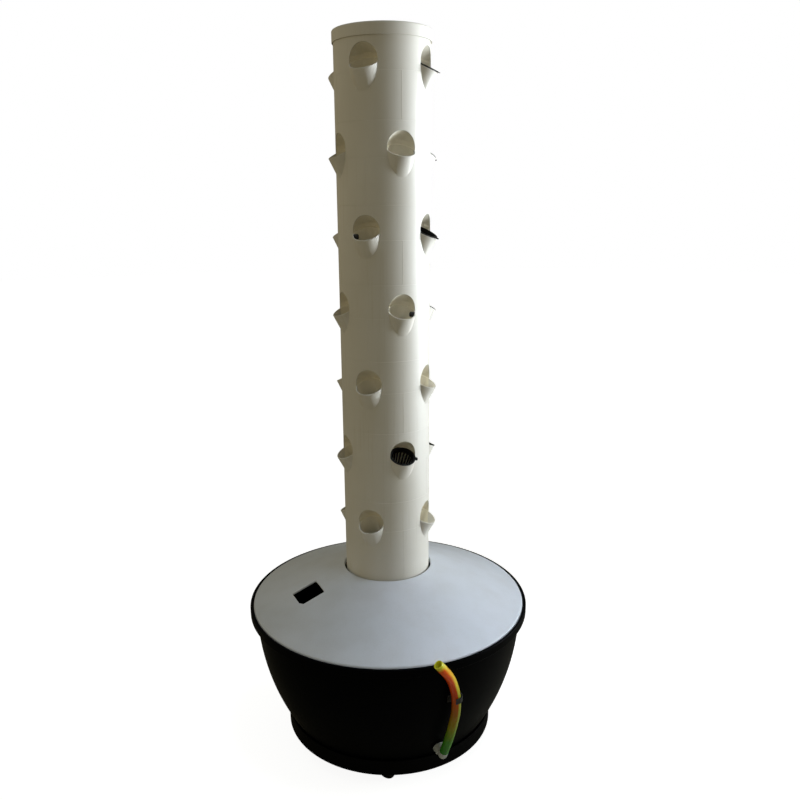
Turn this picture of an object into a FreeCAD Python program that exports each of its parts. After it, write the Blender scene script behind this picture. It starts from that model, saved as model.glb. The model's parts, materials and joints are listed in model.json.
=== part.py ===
import FreeCAD, Part
import math
import os

# Vertical planter tower: a column of stacked planting sections on a round water tank.
# Millimetres, +Z up, the column's axis on Z, the floor at Z = 0, the front towards -Y.

# Column sections
SECTION_COUNT = 7
SECTION_PITCH = 162.0
SEAM_TO_TOP = 70.0
COLUMN_RADIUS = 100.0
COLUMN_WALL = 2.5
SPIGOT_LENGTH = 14.0
SPIGOT_WALL = 2.3
SPIGOT_CLEARANCE = 0.3
JOINT_CHAMFER = 0.7
BASE_SECTION_SKIRT = 150.0

# Planting pockets, four to a section
POCKET_COUNT = 4
POCKET_TILT = 27.0
POCKET_RADIUS = 30.0
POCKET_WALL = 2.5
POCKET_DRAFT = 1.4
POCKET_DEPTH = 60.0
POCKET_INSET = 6.5
POCKET_RISE = 14.0
HOOD_CLEARANCE = 0.3
HOOD_WALL = 2.0
HOOD_STRAIGHT = 9.0
HOOD_LEAN = 62.0
HOOD_COLLAR = 6.0
LAYER_TURN = 45.0
FIRST_POCKET_ANGLE = -22.5

# Net cups
CUP_RIM_OVERLAP = 2.0
CUP_RIM_THICKNESS = 1.6
CUP_SEAT_GAP = 0.2
CUP_SIDE_GAP = 1.2
CUP_FOOT_RADIUS = 19.5
CUP_DEPTH = 48.0
CUP_WALL = 1.4
CUP_SLOTS = 10
CUP_SLOT_WIDTH = 4.2
CUP_SLOT_TOP = 7.0
CUP_SLOT_LENGTH = 31.0
CUP_FOOT_HOLES = 5
CUP_FOOT_HOLE_RADIUS = 3.4
CUP_LUG_LENGTH = 5.0
CUP_LUG_WIDTH = 9.0

# Cap and water tray at the top of the column
CAP_RADIUS = 103.5
CAP_WALL = 2.6
CAP_HEIGHT = 23.5
CAP_DROP = 8.0
CAP_EDGE_ROUND = 3.0
CAP_SEAT_WALL = 3.0
TRAY_FLANGE = 2.0
TRAY_CLEARANCE = 0.6
TRAY_WALL = 1.8
TRAY_DEPTH = 15.0
TRAY_OUTER_HOLES = 16
TRAY_INNER_HOLES = 6
TRAY_HOLE_RADIUS = 2.2
TRAY_OUTER_RING = 86.0
TRAY_INNER_RING = 40.0
TRAY_SOCKET_HEIGHT = 8.0
TRAY_SOCKET_DROP = 10.0

# Water pipe up the middle
RISER_RADIUS = 10.0
RISER_WALL = 2.0
RISER_SOCKET_CLEARANCE = 0.3

# Casters and the dish that they carry
CASTER_COUNT = 4
CASTER_RING_INSET = 37.0
CASTER_FIRST_ANGLE = -96.0
# How far each caster has swivelled from pointing straight out.
CASTER_TURNS = [70.0, 10.0, -35.0, 160.0]
WHEEL_RADIUS = 21.0
WHEEL_WIDTH = 16.0
WHEEL_TRAIL = 17.0
WHEEL_CLEARANCE = 0.6
WHEEL_TOP_GAP = 3.0
WHEEL_HUB_RADIUS = 7.0
WHEEL_TREAD = 4.0
WHEEL_WEB = 5.0
WHEEL_EDGE_ROUND = 3.0
FORK_PLATE = 2.6
FORK_CROWN = 3.5
FORK_CROWN_RADIUS = 15.0
FORK_EYE_RADIUS = 6.5
AXLE_RADIUS = 3.0
AXLE_HEAD = 1.6
AXLE_HEAD_RADIUS = 4.5
RUNNING_GAP = 0.06
STEM_RADIUS = 4.0
STEM_LENGTH = 10.0
STEM_END_GAP = 0.5
BOSS_RADIUS = 13.0
BOSS_HEIGHT = 8.0
SEAT_GAP = 0.3
DISH_PLATE = 3.0
DISH_LIP_RISE = 20.0
DISH_LIP_DROP = 14.0
DISH_LIP_WALL = 2.8
DISH_CLEARANCE = 3.0
DISH_RIB_WIDTH = 4.0

# Tank
TANK_HEIGHT = 300.5
TANK_WALL = 3.5
TANK_TOP_RADIUS = 322.0
TANK_WAIST_INSET = 20.0
TANK_WAIST_HEIGHT = 148.0
TANK_BASE_INSET = 85.0
TANK_CORNER = 26.0
RIM_OVERHANG = 15.0
RIM_HEIGHT = 20.0
RIM_BEAD = 7.0
RIM_LIP_WALL = 3.5
RIM_BEAD_RISE = 9.5

# Lid
LID_WALL = 3.0
LID_RISE = 84.5
LID_EDGE_GAP = 1.1
LID_EDGE_ROUND = 6.0
LID_SKIRT = 6.5
LID_HOLE_CLEARANCE = 4.5
LID_COLLAR = 12.0
LID_LIP = 1.5
ACCESS_RADIUS = 205.5
ACCESS_ANGLE = -156.0
ACCESS_LENGTH = 60.0
ACCESS_WIDTH = 62.0
ACCESS_CORNER_CUT = 13.0

# Column stand inside the tank
STAND_HEIGHT = 364.5
STAND_FOOT_RADIUS = 120.0
STAND_FOOT_THICKNESS = 3.5
STAND_WINDOWS = 6
STAND_WINDOW_WIDTH = 46.0
STAND_WINDOW_HEIGHT = 84.0
STAND_GUSSET = 2.5
STAND_GUSSET_HEIGHT = 30.0

# Pump on the tank's floor, inside the stand
PUMP_WIDTH = 74.0
PUMP_LENGTH = 88.0
PUMP_HEIGHT = 70.0
PUMP_CORNER = 10.0
PUMP_FOOT_HEIGHT = 7.0
PUMP_FOOT_RADIUS = 9.0
PUMP_FOOT_NECK = 4.5
PUMP_FOOT_LIP = 2.7
PUMP_FOOT_HOLLOW = 2.3
PUMP_FOOT_SPREAD = 24.0
PUMP_CHAMBER_RADIUS = 21.0
PUMP_CHAMBER_DEPTH = 24.0
PUMP_COVER = 9.0
PUMP_COVER_WALL = 2.4
PUMP_COVER_INSET = 1.0
PUMP_WAY_RADIUS = 4.0
PUMP_WAY_DEPTH = 8.0
PUMP_GRILLE_SLOTS = 7
PUMP_GRILLE_SLOT_WIDTH = 4.0
PUMP_GRILLE_PITCH = 8.0
PUMP_SHAFT_RADIUS = 1.5
PUMP_SHAFT_SEAT = 6.0
PUMP_SHAFT_END_GAP = 1.0
IMPELLER_RADIUS = 17.0
IMPELLER_BLADES = 6
IMPELLER_BLADE = 2.0
IMPELLER_LENGTH = 15.0
IMPELLER_HUB = 5.0
IMPELLER_BACK_GAP = 4.0
NIPPLE_LENGTH = 16.0
NIPPLE_WALL = 1.8
NIPPLE_COLLAR = 4.0
GLAND_RADIUS = 6.0
GLAND_LENGTH = 12.0
GLAND_BORE = 3.2

# Level hose: swivel elbow through the tank wall, hose and clip
FITTING_ANGLE = -65.7
FITTING_HEIGHT = 57.0
BOSS_PAD_RADIUS = 17.0
BOSS_PAD = 2.0
GASKET_THICKNESS = 1.5
GASKET_INSET = 1.0
FLANGE_RADIUS = 15.0
FLANGE_THICKNESS = 5.0
STUB_RADIUS = 8.9
STUB_BORE = 5.5
STUB_END = 3.0
NOSE_RADIUS = 8.0
NOSE_LENGTH = 8.0
LOCKNUT_SIDES = 6
LOCKNUT_ACROSS_FLATS = 27.0
LOCKNUT_THICKNESS = 6.0
ELBOW_RADIUS = 10.5
ELBOW_COLLAR_RADIUS = 13.5
ELBOW_COLLAR = 8.0
ELBOW_REACH = 24.0
ELBOW_RISE = 14.0
BARB_LENGTH = 17.0
BARB_GAP = 0.2
BARB_RIDGE = 0.15
BARB_RIDGES = 3
HOSE_RADIUS = 10.3
HOSE_WALL = 2.0
HOSE_FIRST_RUN = 36.0
# Corners of the hose's centre line above its first run: angle about the tank, distance out from
# the tank's wall, height above the tank's underside.
HOSE_ROUTE = [
    (-64.8, 23.6, 134.2),
    (-64.2, 22.2, 180.2),
    (-64.6, 19.2, 224.2),
    (-66.6, 17.7, 264.2),
    (-69.8, 30.6, 297.2),
    (-73.4, 33.8, 325.2),
]
# Share of the shorter run beside a corner that its bend takes up.
HOSE_BEND_SHARE = 0.45
CLIP_HEIGHT = 207.5
CLIP_LENGTH = 13.0
CLIP_WALL = 2.0
CLIP_GAP = 0.65
CLIP_MOUTH = 3.0

# Derived heights, from the floor up
CROWN_TOP = 2.0 * WHEEL_RADIUS + WHEEL_TOP_GAP + FORK_CROWN
DISH_UNDERSIDE = CROWN_TOP + SEAT_GAP + BOSS_HEIGHT
TANK_FLOOR = DISH_UNDERSIDE + DISH_PLATE
TANK_INSIDE = TANK_FLOOR + TANK_WALL
LEDGE_HEIGHT = TANK_FLOOR + TANK_HEIGHT
STAND_TOP = TANK_INSIDE + STAND_HEIGHT
LOWEST_SEAM = STAND_TOP + BASE_SECTION_SKIRT
SEAM_TO_JOINT = SECTION_PITCH - SEAM_TO_TOP
TOP_SEAM = LOWEST_SEAM + (SECTION_COUNT - 1) * SECTION_PITCH
COLUMN_TOP = TOP_SEAM + SEAM_TO_TOP
COLUMN_BORE = COLUMN_RADIUS - COLUMN_WALL
POCKET_BORE = POCKET_RADIUS - POCKET_WALL
TANK_BASE_RADIUS = TANK_TOP_RADIUS - TANK_BASE_INSET
TANK_WAIST_RADIUS = TANK_TOP_RADIUS - TANK_WAIST_INSET
RIM_RADIUS = TANK_TOP_RADIUS + RIM_OVERHANG
CASTER_RING = TANK_BASE_RADIUS - CASTER_RING_INSET
LID_OUTER_RADIUS = RIM_RADIUS - RIM_BEAD - LID_EDGE_GAP
LID_HOLE_RADIUS = COLUMN_RADIUS + LID_HOLE_CLEARANCE
AXLE_HEIGHT = WHEEL_RADIUS
PUMP_FLOOR = TANK_INSIDE + PUMP_FOOT_HEIGHT
PUMP_TOP = PUMP_FLOOR + PUMP_HEIGHT

# Cups stand in these pockets: section counted from the top, pocket counted around.
CUP_PLACES = [(1, 0), (2, 0), (3, 0), (4, 0), (6, 3), (6, 0)]
# How far each cup is turned about its own axis, its lug pointing straight out at zero. Past 75 degrees
# the lug meets the hood beside the pocket.
CUP_TURNS = [0.0, 0.0, 0.0, 0.0, 65.0, 0.0]

# How near two places must lie to count as one.
SAME_PLACE = 0.01

X_AXIS = FreeCAD.Vector(1, 0, 0)
Y_AXIS = FreeCAD.Vector(0, 1, 0)
Z_AXIS = FreeCAD.Vector(0, 0, 1)
ORIGIN = FreeCAD.Vector(0, 0, 0)


def outline(start, steps):
    """Face in the XZ plane: each step is a point, or a pair (middle, end) for an arc."""
    edges = []
    here = FreeCAD.Vector(start[0], 0, start[1])
    first = here
    for step in steps:
        if isinstance(step[0], tuple):
            middle = FreeCAD.Vector(step[0][0], 0, step[0][1])
            end = FreeCAD.Vector(step[1][0], 0, step[1][1])
            edges.append(Part.Arc(here, middle, end).toShape())
        else:
            end = FreeCAD.Vector(step[0], 0, step[1])
            edges.append(Part.LineSegment(here, end).toShape())
        here = end
    if here.distanceToPoint(first) > SAME_PLACE:
        edges.append(Part.LineSegment(here, first).toShape())
    return Part.Face(Part.Wire(edges))


def turned(start, steps):
    """Solid of revolution about Z of an outline in the XZ plane."""
    return outline(start, steps).revolve(ORIGIN, Z_AXIS, 360)


def quarter(centre, radius, from_degrees, to_degrees):
    """Arc step (middle, end) about a centre, for an outline."""
    middle = math.radians((from_degrees + to_degrees) / 2.0)
    end = math.radians(to_degrees)
    return (
        (centre[0] + radius * math.cos(middle), centre[1] + radius * math.sin(middle)),
        (centre[0] + radius * math.cos(end), centre[1] + radius * math.sin(end)),
    )


def cylinder(radius, height, base=ORIGIN, axis=Z_AXIS):
    """Plain cylinder from its base centre along an axis."""
    return Part.makeCylinder(radius, height, base, axis)


def tube(radius, bore, height, base=ORIGIN, axis=Z_AXIS):
    """Hollow cylinder."""
    return cylinder(radius, height, base, axis).cut(cylinder(bore, height, base, axis))


def around(shape, count, first_angle=0.0):
    """Copies of a shape spread evenly about the Z axis."""
    copies = []
    for index in range(count):
        copy = shape.copy()
        copy.rotate(ORIGIN, Z_AXIS, first_angle + index * 360.0 / count)
        copies.append(copy)
    return copies


def joined(shape, others):
    """Fuse with several others and merge the faces that they share."""
    return shape.fuse(others).removeSplitter()


def placed(shape, position, turn):
    """Copy of a shape turned, then moved."""
    copy = shape.copy()
    copy.Placement = FreeCAD.Placement(position, turn).multiply(shape.Placement)
    return copy


# Planting pocket, in its own frame: mouth centre at the origin, axis on Z, outward side +X

def hood_sweep(radius, start, length):
    """Round section swept from the pocket's axis towards the open side of the hood."""
    lean = math.radians(HOOD_LEAN - POCKET_TILT)
    disc = Part.Face(Part.Wire(Part.makeCircle(radius, FreeCAD.Vector(0, 0, start))))
    reach = FreeCAD.Vector(math.sin(lean) * length, 0, math.cos(lean) * length)
    return disc.extrude(reach)


def pocket_shell():
    """Outside of a pocket below its mouth, with the draft of its mould."""
    return Part.makeCone(
        POCKET_RADIUS - POCKET_DRAFT, POCKET_RADIUS, POCKET_DEPTH,
        FreeCAD.Vector(0, 0, -POCKET_DEPTH),
    )


def hood_shell():
    """Outside of the hood that joins the mouth to the column's wall."""
    radius = POCKET_RADIUS + HOOD_CLEARANCE + HOOD_WALL
    straight = cylinder(radius, HOOD_COLLAR + HOOD_STRAIGHT, FreeCAD.Vector(0, 0, -HOOD_COLLAR))
    return straight.fuse(hood_sweep(radius, HOOD_STRAIGHT, 2.0 * POCKET_RADIUS))


def pocket_void():
    """Space inside a pocket and its hood, open to the front and into the column."""
    radius = POCKET_RADIUS + HOOD_CLEARANCE
    bore = Part.makeCone(
        POCKET_BORE - POCKET_DRAFT, POCKET_BORE, POCKET_DEPTH,
        FreeCAD.Vector(0, 0, -POCKET_DEPTH),
    )
    foot = cylinder(
        POCKET_BORE - POCKET_DRAFT, POCKET_WALL, FreeCAD.Vector(0, 0, -POCKET_DEPTH - POCKET_WALL))
    straight = cylinder(radius, HOOD_STRAIGHT)
    return bore.fuse([foot, straight, hood_sweep(radius, HOOD_STRAIGHT, 4.0 * POCKET_RADIUS)])


def pocket_turn(angle):
    """Rotation from a pocket's own frame to one at an angle about the column."""
    tilt = FreeCAD.Rotation(Y_AXIS, POCKET_TILT)
    return FreeCAD.Rotation(Z_AXIS, angle).multiply(tilt)


def pocket_mouth(angle, seam):
    """Centre of a pocket's mouth."""
    reach = COLUMN_RADIUS - POCKET_INSET
    turn = math.radians(angle)
    return FreeCAD.Vector(reach * math.cos(turn), reach * math.sin(turn), seam + POCKET_RISE)


def layer_angle(layer):
    """Angle of a section's first pocket: every other section is turned by half a pocket."""
    return FIRST_POCKET_ANGLE + (0.0 if layer % 2 else LAYER_TURN)


def seam_height(layer):
    """Height of the seam at a section's pocket lips, counted from the top."""
    return TOP_SEAM - (layer - 1) * SECTION_PITCH


# Column

def section_tube(skirt):
    """Round wall of a section, with the spigot that drops into the piece below."""
    outer = COLUMN_RADIUS
    spigot = COLUMN_BORE - SPIGOT_CLEARANCE
    inner = spigot - SPIGOT_WALL
    chamfer = JOINT_CHAMFER
    step = COLUMN_BORE - inner
    return turned((inner, -skirt - SPIGOT_LENGTH), [
        (spigot - chamfer, -skirt - SPIGOT_LENGTH),
        (spigot, -skirt - SPIGOT_LENGTH + chamfer),
        (spigot, -skirt),
        (outer - chamfer, -skirt),
        (outer, -skirt + chamfer),
        (outer, SEAM_TO_TOP - chamfer),
        (outer - chamfer, SEAM_TO_TOP),
        (COLUMN_BORE, SEAM_TO_TOP),
        (COLUMN_BORE, -skirt + COLUMN_WALL + step),
        (inner, -skirt + COLUMN_WALL),
    ])


def section(skirt):
    """Planting section about its seam height, first pocket on +X."""
    wall_middle = COLUMN_RADIUS - COLUMN_WALL / 2.0
    envelope = cylinder(wall_middle, SEAM_TO_TOP + skirt, FreeCAD.Vector(0, 0, -skirt))
    mouth = pocket_mouth(0.0, 0.0)
    turn = pocket_turn(0.0)
    shell = placed(pocket_shell(), mouth, turn)
    hood = placed(hood_shell(), mouth, turn).common(envelope)
    void = placed(pocket_void(), mouth, turn)
    body = section_tube(skirt).fuse(around(shell, POCKET_COUNT) + around(hood, POCKET_COUNT))
    return body.cut(around(void, POCKET_COUNT)).removeSplitter()


def column_sections():
    """The seven sections by name, top one first. The lowest has a longer skirt."""
    upper = section(SEAM_TO_JOINT)
    lowest = section(BASE_SECTION_SKIRT)
    pieces = {}
    for layer in range(1, SECTION_COUNT + 1):
        source = lowest if layer == SECTION_COUNT else upper
        turn = FreeCAD.Rotation(Z_AXIS, layer_angle(layer))
        position = FreeCAD.Vector(0, 0, seam_height(layer))
        pieces["tower_section_%d" % layer] = placed(source, position, turn)
    return pieces


def net_cup():
    """Slotted cup about the pocket's mouth centre, its rim resting on the mouth."""
    low = CUP_SEAT_GAP
    top = low + CUP_RIM_THICKNESS
    rim = POCKET_BORE + CUP_RIM_OVERLAP
    neck = POCKET_BORE - CUP_SIDE_GAP
    foot = CUP_FOOT_RADIUS
    wall = CUP_WALL
    cup = turned((0.0, low - CUP_DEPTH), [
        (foot, low - CUP_DEPTH),
        (neck, low),
        (rim, low),
        (rim, top),
        (neck - wall, top),
        (foot - wall, low - CUP_DEPTH + wall),
        (0.0, low - CUP_DEPTH + wall),
    ])
    slot_top = low - CUP_SLOT_TOP
    slot = Part.makeBox(
        rim, CUP_SLOT_WIDTH, CUP_SLOT_LENGTH,
        FreeCAD.Vector(foot - 3.0 * wall, -CUP_SLOT_WIDTH / 2.0, slot_top - CUP_SLOT_LENGTH),
    )
    hole_ring = foot - wall - 2.0 * CUP_FOOT_HOLE_RADIUS
    hole = cylinder(
        CUP_FOOT_HOLE_RADIUS, 3.0 * wall,
        FreeCAD.Vector(hole_ring, 0, low - CUP_DEPTH - wall),
    )
    cuts = around(slot, CUP_SLOTS) + around(hole, CUP_FOOT_HOLES)
    lug = Part.makeBox(
        CUP_LUG_LENGTH + CUP_RIM_OVERLAP, CUP_LUG_WIDTH, CUP_RIM_THICKNESS,
        FreeCAD.Vector(rim - CUP_RIM_OVERLAP, -CUP_LUG_WIDTH / 2.0, low),
    )
    return joined(cup.cut(cuts), [lug])


def net_cups():
    """The cups by name, each in its pocket."""
    cup = net_cup()
    pieces = {}
    for index, (layer, pocket) in enumerate(CUP_PLACES, start=1):
        angle = layer_angle(layer) + pocket * 360.0 / POCKET_COUNT
        about_axis = FreeCAD.Rotation(Z_AXIS, CUP_TURNS[(index - 1) % len(CUP_TURNS)])
        pieces["net_cup_%d" % index] = placed(
            cup, pocket_mouth(angle, seam_height(layer)), pocket_turn(angle).multiply(about_axis))
    return pieces


def water_tray():
    """Perforated tray in the column's top, with a socket for the water pipe."""
    outer = COLUMN_BORE - TRAY_CLEARANCE
    inner = outer - TRAY_WALL
    flange = COLUMN_RADIUS - JOINT_CHAMFER
    seat = COLUMN_TOP
    floor = seat - TRAY_DEPTH
    socket_bore = RISER_RADIUS + RISER_SOCKET_CLEARANCE
    socket = socket_bore + TRAY_WALL
    tray = turned((socket_bore, floor + TRAY_SOCKET_HEIGHT), [
        (socket_bore, floor - TRAY_SOCKET_DROP),
        (socket, floor - TRAY_SOCKET_DROP),
        (socket, floor),
        (outer, floor),
        (outer, seat),
        (flange, seat),
        (flange, seat + TRAY_FLANGE),
        (inner, seat + TRAY_FLANGE),
        (inner, floor + TRAY_WALL),
        (socket, floor + TRAY_WALL),
        (socket, floor + TRAY_SOCKET_HEIGHT),
    ])
    depth = 3.0 * TRAY_WALL
    start = floor - TRAY_WALL
    drip = cylinder(TRAY_HOLE_RADIUS, depth, FreeCAD.Vector(TRAY_OUTER_RING, 0, start))
    near = cylinder(TRAY_HOLE_RADIUS, depth, FreeCAD.Vector(TRAY_INNER_RING, 0, start))
    return tray.cut(around(drip, TRAY_OUTER_HOLES) + around(near, TRAY_INNER_HOLES))


def column_cap():
    """Flat cap with a skirt over the column's top and a ring that rests on the tray."""
    low = COLUMN_TOP - CAP_DROP
    top = low + CAP_HEIGHT
    inside = CAP_RADIUS - CAP_WALL
    under = top - CAP_WALL
    seat = COLUMN_TOP + TRAY_FLANGE
    ring_outer = COLUMN_RADIUS - 2.0 * JOINT_CHAMFER
    ring_inner = ring_outer - CAP_SEAT_WALL
    edge = (CAP_RADIUS - CAP_EDGE_ROUND, top - CAP_EDGE_ROUND)
    return turned((0.0, top), [
        (edge[0], top),
        quarter(edge, CAP_EDGE_ROUND, 90, 0),
        (CAP_RADIUS, low),
        (inside, low),
        (inside, under),
        (ring_outer, under),
        (ring_outer, seat),
        (ring_inner, seat),
        (ring_inner, under),
        (0.0, under),
    ])


def riser_pipe():
    """Water pipe from the pump's outlet to the tray."""
    low = PUMP_TOP + NIPPLE_COLLAR
    high = COLUMN_TOP - TRAY_DEPTH + TRAY_SOCKET_HEIGHT / 2.0
    return tube(RISER_RADIUS, RISER_RADIUS - RISER_WALL, high - low, FreeCAD.Vector(0, 0, low))


# Tank

def circle_through(first, second, third):
    """Centre and radius of the circle through three points (r, z)."""
    ax, az = first
    bx, bz = second
    cx, cz = third
    twice = 2.0 * (ax * (bz - cz) + bx * (cz - az) + cx * (az - bz))
    a2 = ax * ax + az * az
    b2 = bx * bx + bz * bz
    c2 = cx * cx + cz * cz
    centre_r = (a2 * (bz - cz) + b2 * (cz - az) + c2 * (az - bz)) / twice
    centre_z = (a2 * (cx - bx) + b2 * (ax - cx) + c2 * (bx - ax)) / twice
    return centre_r, centre_z, math.hypot(ax - centre_r, az - centre_z)


WALL_CENTRE_R, WALL_CENTRE_Z, WALL_ARC = circle_through(
    (TANK_BASE_RADIUS, TANK_FLOOR),
    (TANK_WAIST_RADIUS, TANK_FLOOR + TANK_WAIST_HEIGHT),
    (TANK_TOP_RADIUS, LEDGE_HEIGHT),
)


def tank_radius(height, depth=0.0):
    """Radius of the tank's wall at a height, a given depth inside its outer face."""
    radius = WALL_ARC - depth
    return WALL_CENTRE_R + math.sqrt(radius * radius - (height - WALL_CENTRE_Z) ** 2)


def wall_lean(height):
    """Angle in radians between the tank's wall and the vertical at a height."""
    return math.asin((WALL_CENTRE_Z - height) / WALL_ARC)


def bowl(low, high, depth):
    """Solid bowl inside the wall's outer face, with a rounded foot."""
    middle = (low + high) / 2.0
    body = turned((0.0, low), [
        (tank_radius(low, depth), low),
        ((tank_radius(middle, depth), middle), (tank_radius(high, depth), high)),
        (0.0, high),
    ])
    foot = [edge for edge in body.Edges
            if abs(edge.BoundBox.ZMin - low) < SAME_PLACE and abs(edge.BoundBox.ZMax - low) < SAME_PLACE
            and edge.BoundBox.XLength > low]
    return body.makeFillet(TANK_CORNER - depth, foot)


def tank_rim():
    """Ledge for the lid and the bead and lip around it."""
    inner = tank_radius(LEDGE_HEIGHT - TANK_WALL, TANK_WALL / 2.0)
    round_radius = RIM_BEAD / 2.0
    top = LEDGE_HEIGHT + RIM_BEAD_RISE - round_radius
    bead = (RIM_RADIUS - round_radius, top)
    bottom = LEDGE_HEIGHT + RIM_BEAD_RISE - RIM_HEIGHT
    under = LEDGE_HEIGHT - TANK_WALL
    return turned((inner, under), [
        (RIM_RADIUS - RIM_LIP_WALL, under),
        (RIM_RADIUS - RIM_LIP_WALL, bottom),
        (RIM_RADIUS, bottom),
        (RIM_RADIUS, top),
        quarter(bead, round_radius, 0, 180),
        (RIM_RADIUS - RIM_BEAD, LEDGE_HEIGHT),
        (inner, LEDGE_HEIGHT),
    ])


def fitting_frame():
    """Point on the tank's outer face and the directions out of it and up along it."""
    height = TANK_FLOOR + FITTING_HEIGHT
    lean = wall_lean(height)
    turn = math.radians(FITTING_ANGLE)
    radial = FreeCAD.Vector(math.cos(turn), math.sin(turn), 0)
    point = radial * tank_radius(height) + FreeCAD.Vector(0, 0, height)
    out = radial * math.cos(lean) - Z_AXIS * math.sin(lean)
    up = radial * math.sin(lean) + Z_AXIS * math.cos(lean)
    return point, out, up


FITTING_POINT, FITTING_OUT, FITTING_UP = fitting_frame()
ELBOW_CENTRE = FITTING_POINT + FITTING_OUT * ELBOW_REACH


def tank():
    """Bowl-shaped tank with its rim and the flat pads for the hose fitting."""
    outer = bowl(TANK_FLOOR, LEDGE_HEIGHT, 0.0)
    inner = bowl(TANK_INSIDE, LEDGE_HEIGHT + TANK_WALL, TANK_WALL)
    pad = cylinder(
        BOSS_PAD_RADIUS, TANK_WALL + 2.0 * BOSS_PAD,
        FITTING_POINT - FITTING_OUT * (TANK_WALL + BOSS_PAD), FITTING_OUT)
    hole = cylinder(
        STUB_RADIUS + RUNNING_GAP, 4.0 * (TANK_WALL + BOSS_PAD),
        FITTING_POINT - FITTING_OUT * (2.0 * (TANK_WALL + BOSS_PAD)), FITTING_OUT)
    shell = outer.cut(inner).fuse([tank_rim(), pad])
    return shell.cut(hole).removeSplitter()


def lid_height(radius):
    """Height of the lid's upper face at a radius."""
    edge = LID_OUTER_RADIUS - LID_EDGE_ROUND
    slope = LID_RISE / (edge - LID_HOLE_RADIUS)
    return LEDGE_HEIGHT + SEAT_GAP + LID_SKIRT + LID_EDGE_ROUND + slope * (edge - radius)


def access_cutter():
    """Prism of the rectangular opening, one corner cut off."""
    half = ACCESS_LENGTH / 2.0
    side = ACCESS_WIDTH / 2.0
    corners = [
        (ACCESS_RADIUS - half, -side),
        (ACCESS_RADIUS + half, -side),
        (ACCESS_RADIUS + half, side - ACCESS_CORNER_CUT),
        (ACCESS_RADIUS + half - ACCESS_CORNER_CUT / 2.0, side),
        (ACCESS_RADIUS - half, side),
    ]
    points = [FreeCAD.Vector(x, y, LEDGE_HEIGHT) for x, y in corners]
    face = Part.Face(Part.makePolygon(points + points[:1]))
    prism = face.extrude(FreeCAD.Vector(0, 0, 2.0 * LID_RISE))
    prism.rotate(ORIGIN, Z_AXIS, ACCESS_ANGLE)
    return prism


def lid():
    """Shallow cone with a collar around the column and a rounded outer edge."""
    edge = LID_OUTER_RADIUS - LID_EDGE_ROUND
    slope = LID_RISE / (edge - LID_HOLE_RADIUS)
    drop = LID_WALL / math.cos(math.atan(slope))
    low = LEDGE_HEIGHT + SEAT_GAP
    shoulder = lid_height(edge)
    round_centre = (edge, shoulder - LID_EDGE_ROUND)
    inner_edge = LID_OUTER_RADIUS - LID_WALL
    collar = LID_HOLE_RADIUS + LID_WALL
    cone = turned((LID_HOLE_RADIUS, lid_height(LID_HOLE_RADIUS) - LID_COLLAR), [
        (LID_HOLE_RADIUS, lid_height(LID_HOLE_RADIUS) - LID_LIP),
        (LID_HOLE_RADIUS + LID_LIP, lid_height(LID_HOLE_RADIUS + LID_LIP)),
        (edge, shoulder),
        quarter(round_centre, LID_EDGE_ROUND, 90, 0),
        (LID_OUTER_RADIUS, low),
        (inner_edge, low),
        (inner_edge, round_centre[1]),
        (edge, shoulder - drop),
        (collar, lid_height(collar) - drop),
        (collar, lid_height(LID_HOLE_RADIUS) - LID_COLLAR),
    ])
    return cone.cut(access_cutter())


# Stand and pump inside the tank

def column_stand():
    """Perforated tube that carries the column, with a flat foot and gussets."""
    chamfer = JOINT_CHAMFER
    body = turned((COLUMN_BORE, TANK_INSIDE), [
        (STAND_FOOT_RADIUS, TANK_INSIDE),
        (STAND_FOOT_RADIUS, TANK_INSIDE + STAND_FOOT_THICKNESS),
        (COLUMN_RADIUS, TANK_INSIDE + STAND_FOOT_THICKNESS),
        (COLUMN_RADIUS, STAND_TOP - chamfer),
        (COLUMN_RADIUS - chamfer, STAND_TOP),
        (COLUMN_BORE, STAND_TOP),
    ])
    half = STAND_WINDOW_WIDTH / 2.0
    sill = TANK_INSIDE + 2.0 * STAND_FOOT_THICKNESS
    spring = sill + STAND_WINDOW_HEIGHT - half
    window = outline((-half, sill), [
        (half, sill),
        (half, spring),
        ((0.0, spring + half), (-half, spring)),
    ]).extrude(FreeCAD.Vector(0, STAND_FOOT_RADIUS, 0))
    gusset = outline((COLUMN_RADIUS - COLUMN_WALL / 2.0, TANK_INSIDE + STAND_FOOT_THICKNESS / 2.0), [
        (STAND_FOOT_RADIUS, TANK_INSIDE + STAND_FOOT_THICKNESS / 2.0),
        (STAND_FOOT_RADIUS, TANK_INSIDE + STAND_FOOT_THICKNESS),
        (COLUMN_RADIUS, TANK_INSIDE + STAND_GUSSET_HEIGHT),
        (COLUMN_RADIUS - COLUMN_WALL / 2.0, TANK_INSIDE + STAND_GUSSET_HEIGHT),
    ]).extrude(FreeCAD.Vector(0, STAND_GUSSET, 0))
    gusset.translate(FreeCAD.Vector(0, -STAND_GUSSET / 2.0, 0))
    body = body.fuse(around(gusset, STAND_WINDOWS))
    between_gussets = 180.0 / STAND_WINDOWS - 90.0
    return body.cut(around(window, STAND_WINDOWS, between_gussets)).removeSplitter()


def rounded_block(width, length, height, corner, base):
    """Upright block with rounded corners, centred about X and Y."""
    block = Part.makeBox(
        width, length, height, FreeCAD.Vector(-width / 2.0, -length / 2.0, base))
    upright = [edge for edge in block.Edges if edge.BoundBox.ZLength > height - SAME_PLACE]
    return block.makeFillet(corner, upright)


def chamber_axis():
    """Base point of the pump's chamber on the front face of its body."""
    front = -PUMP_LENGTH / 2.0
    return FreeCAD.Vector(0, front, PUMP_FLOOR + PUMP_HEIGHT / 2.0)


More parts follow.
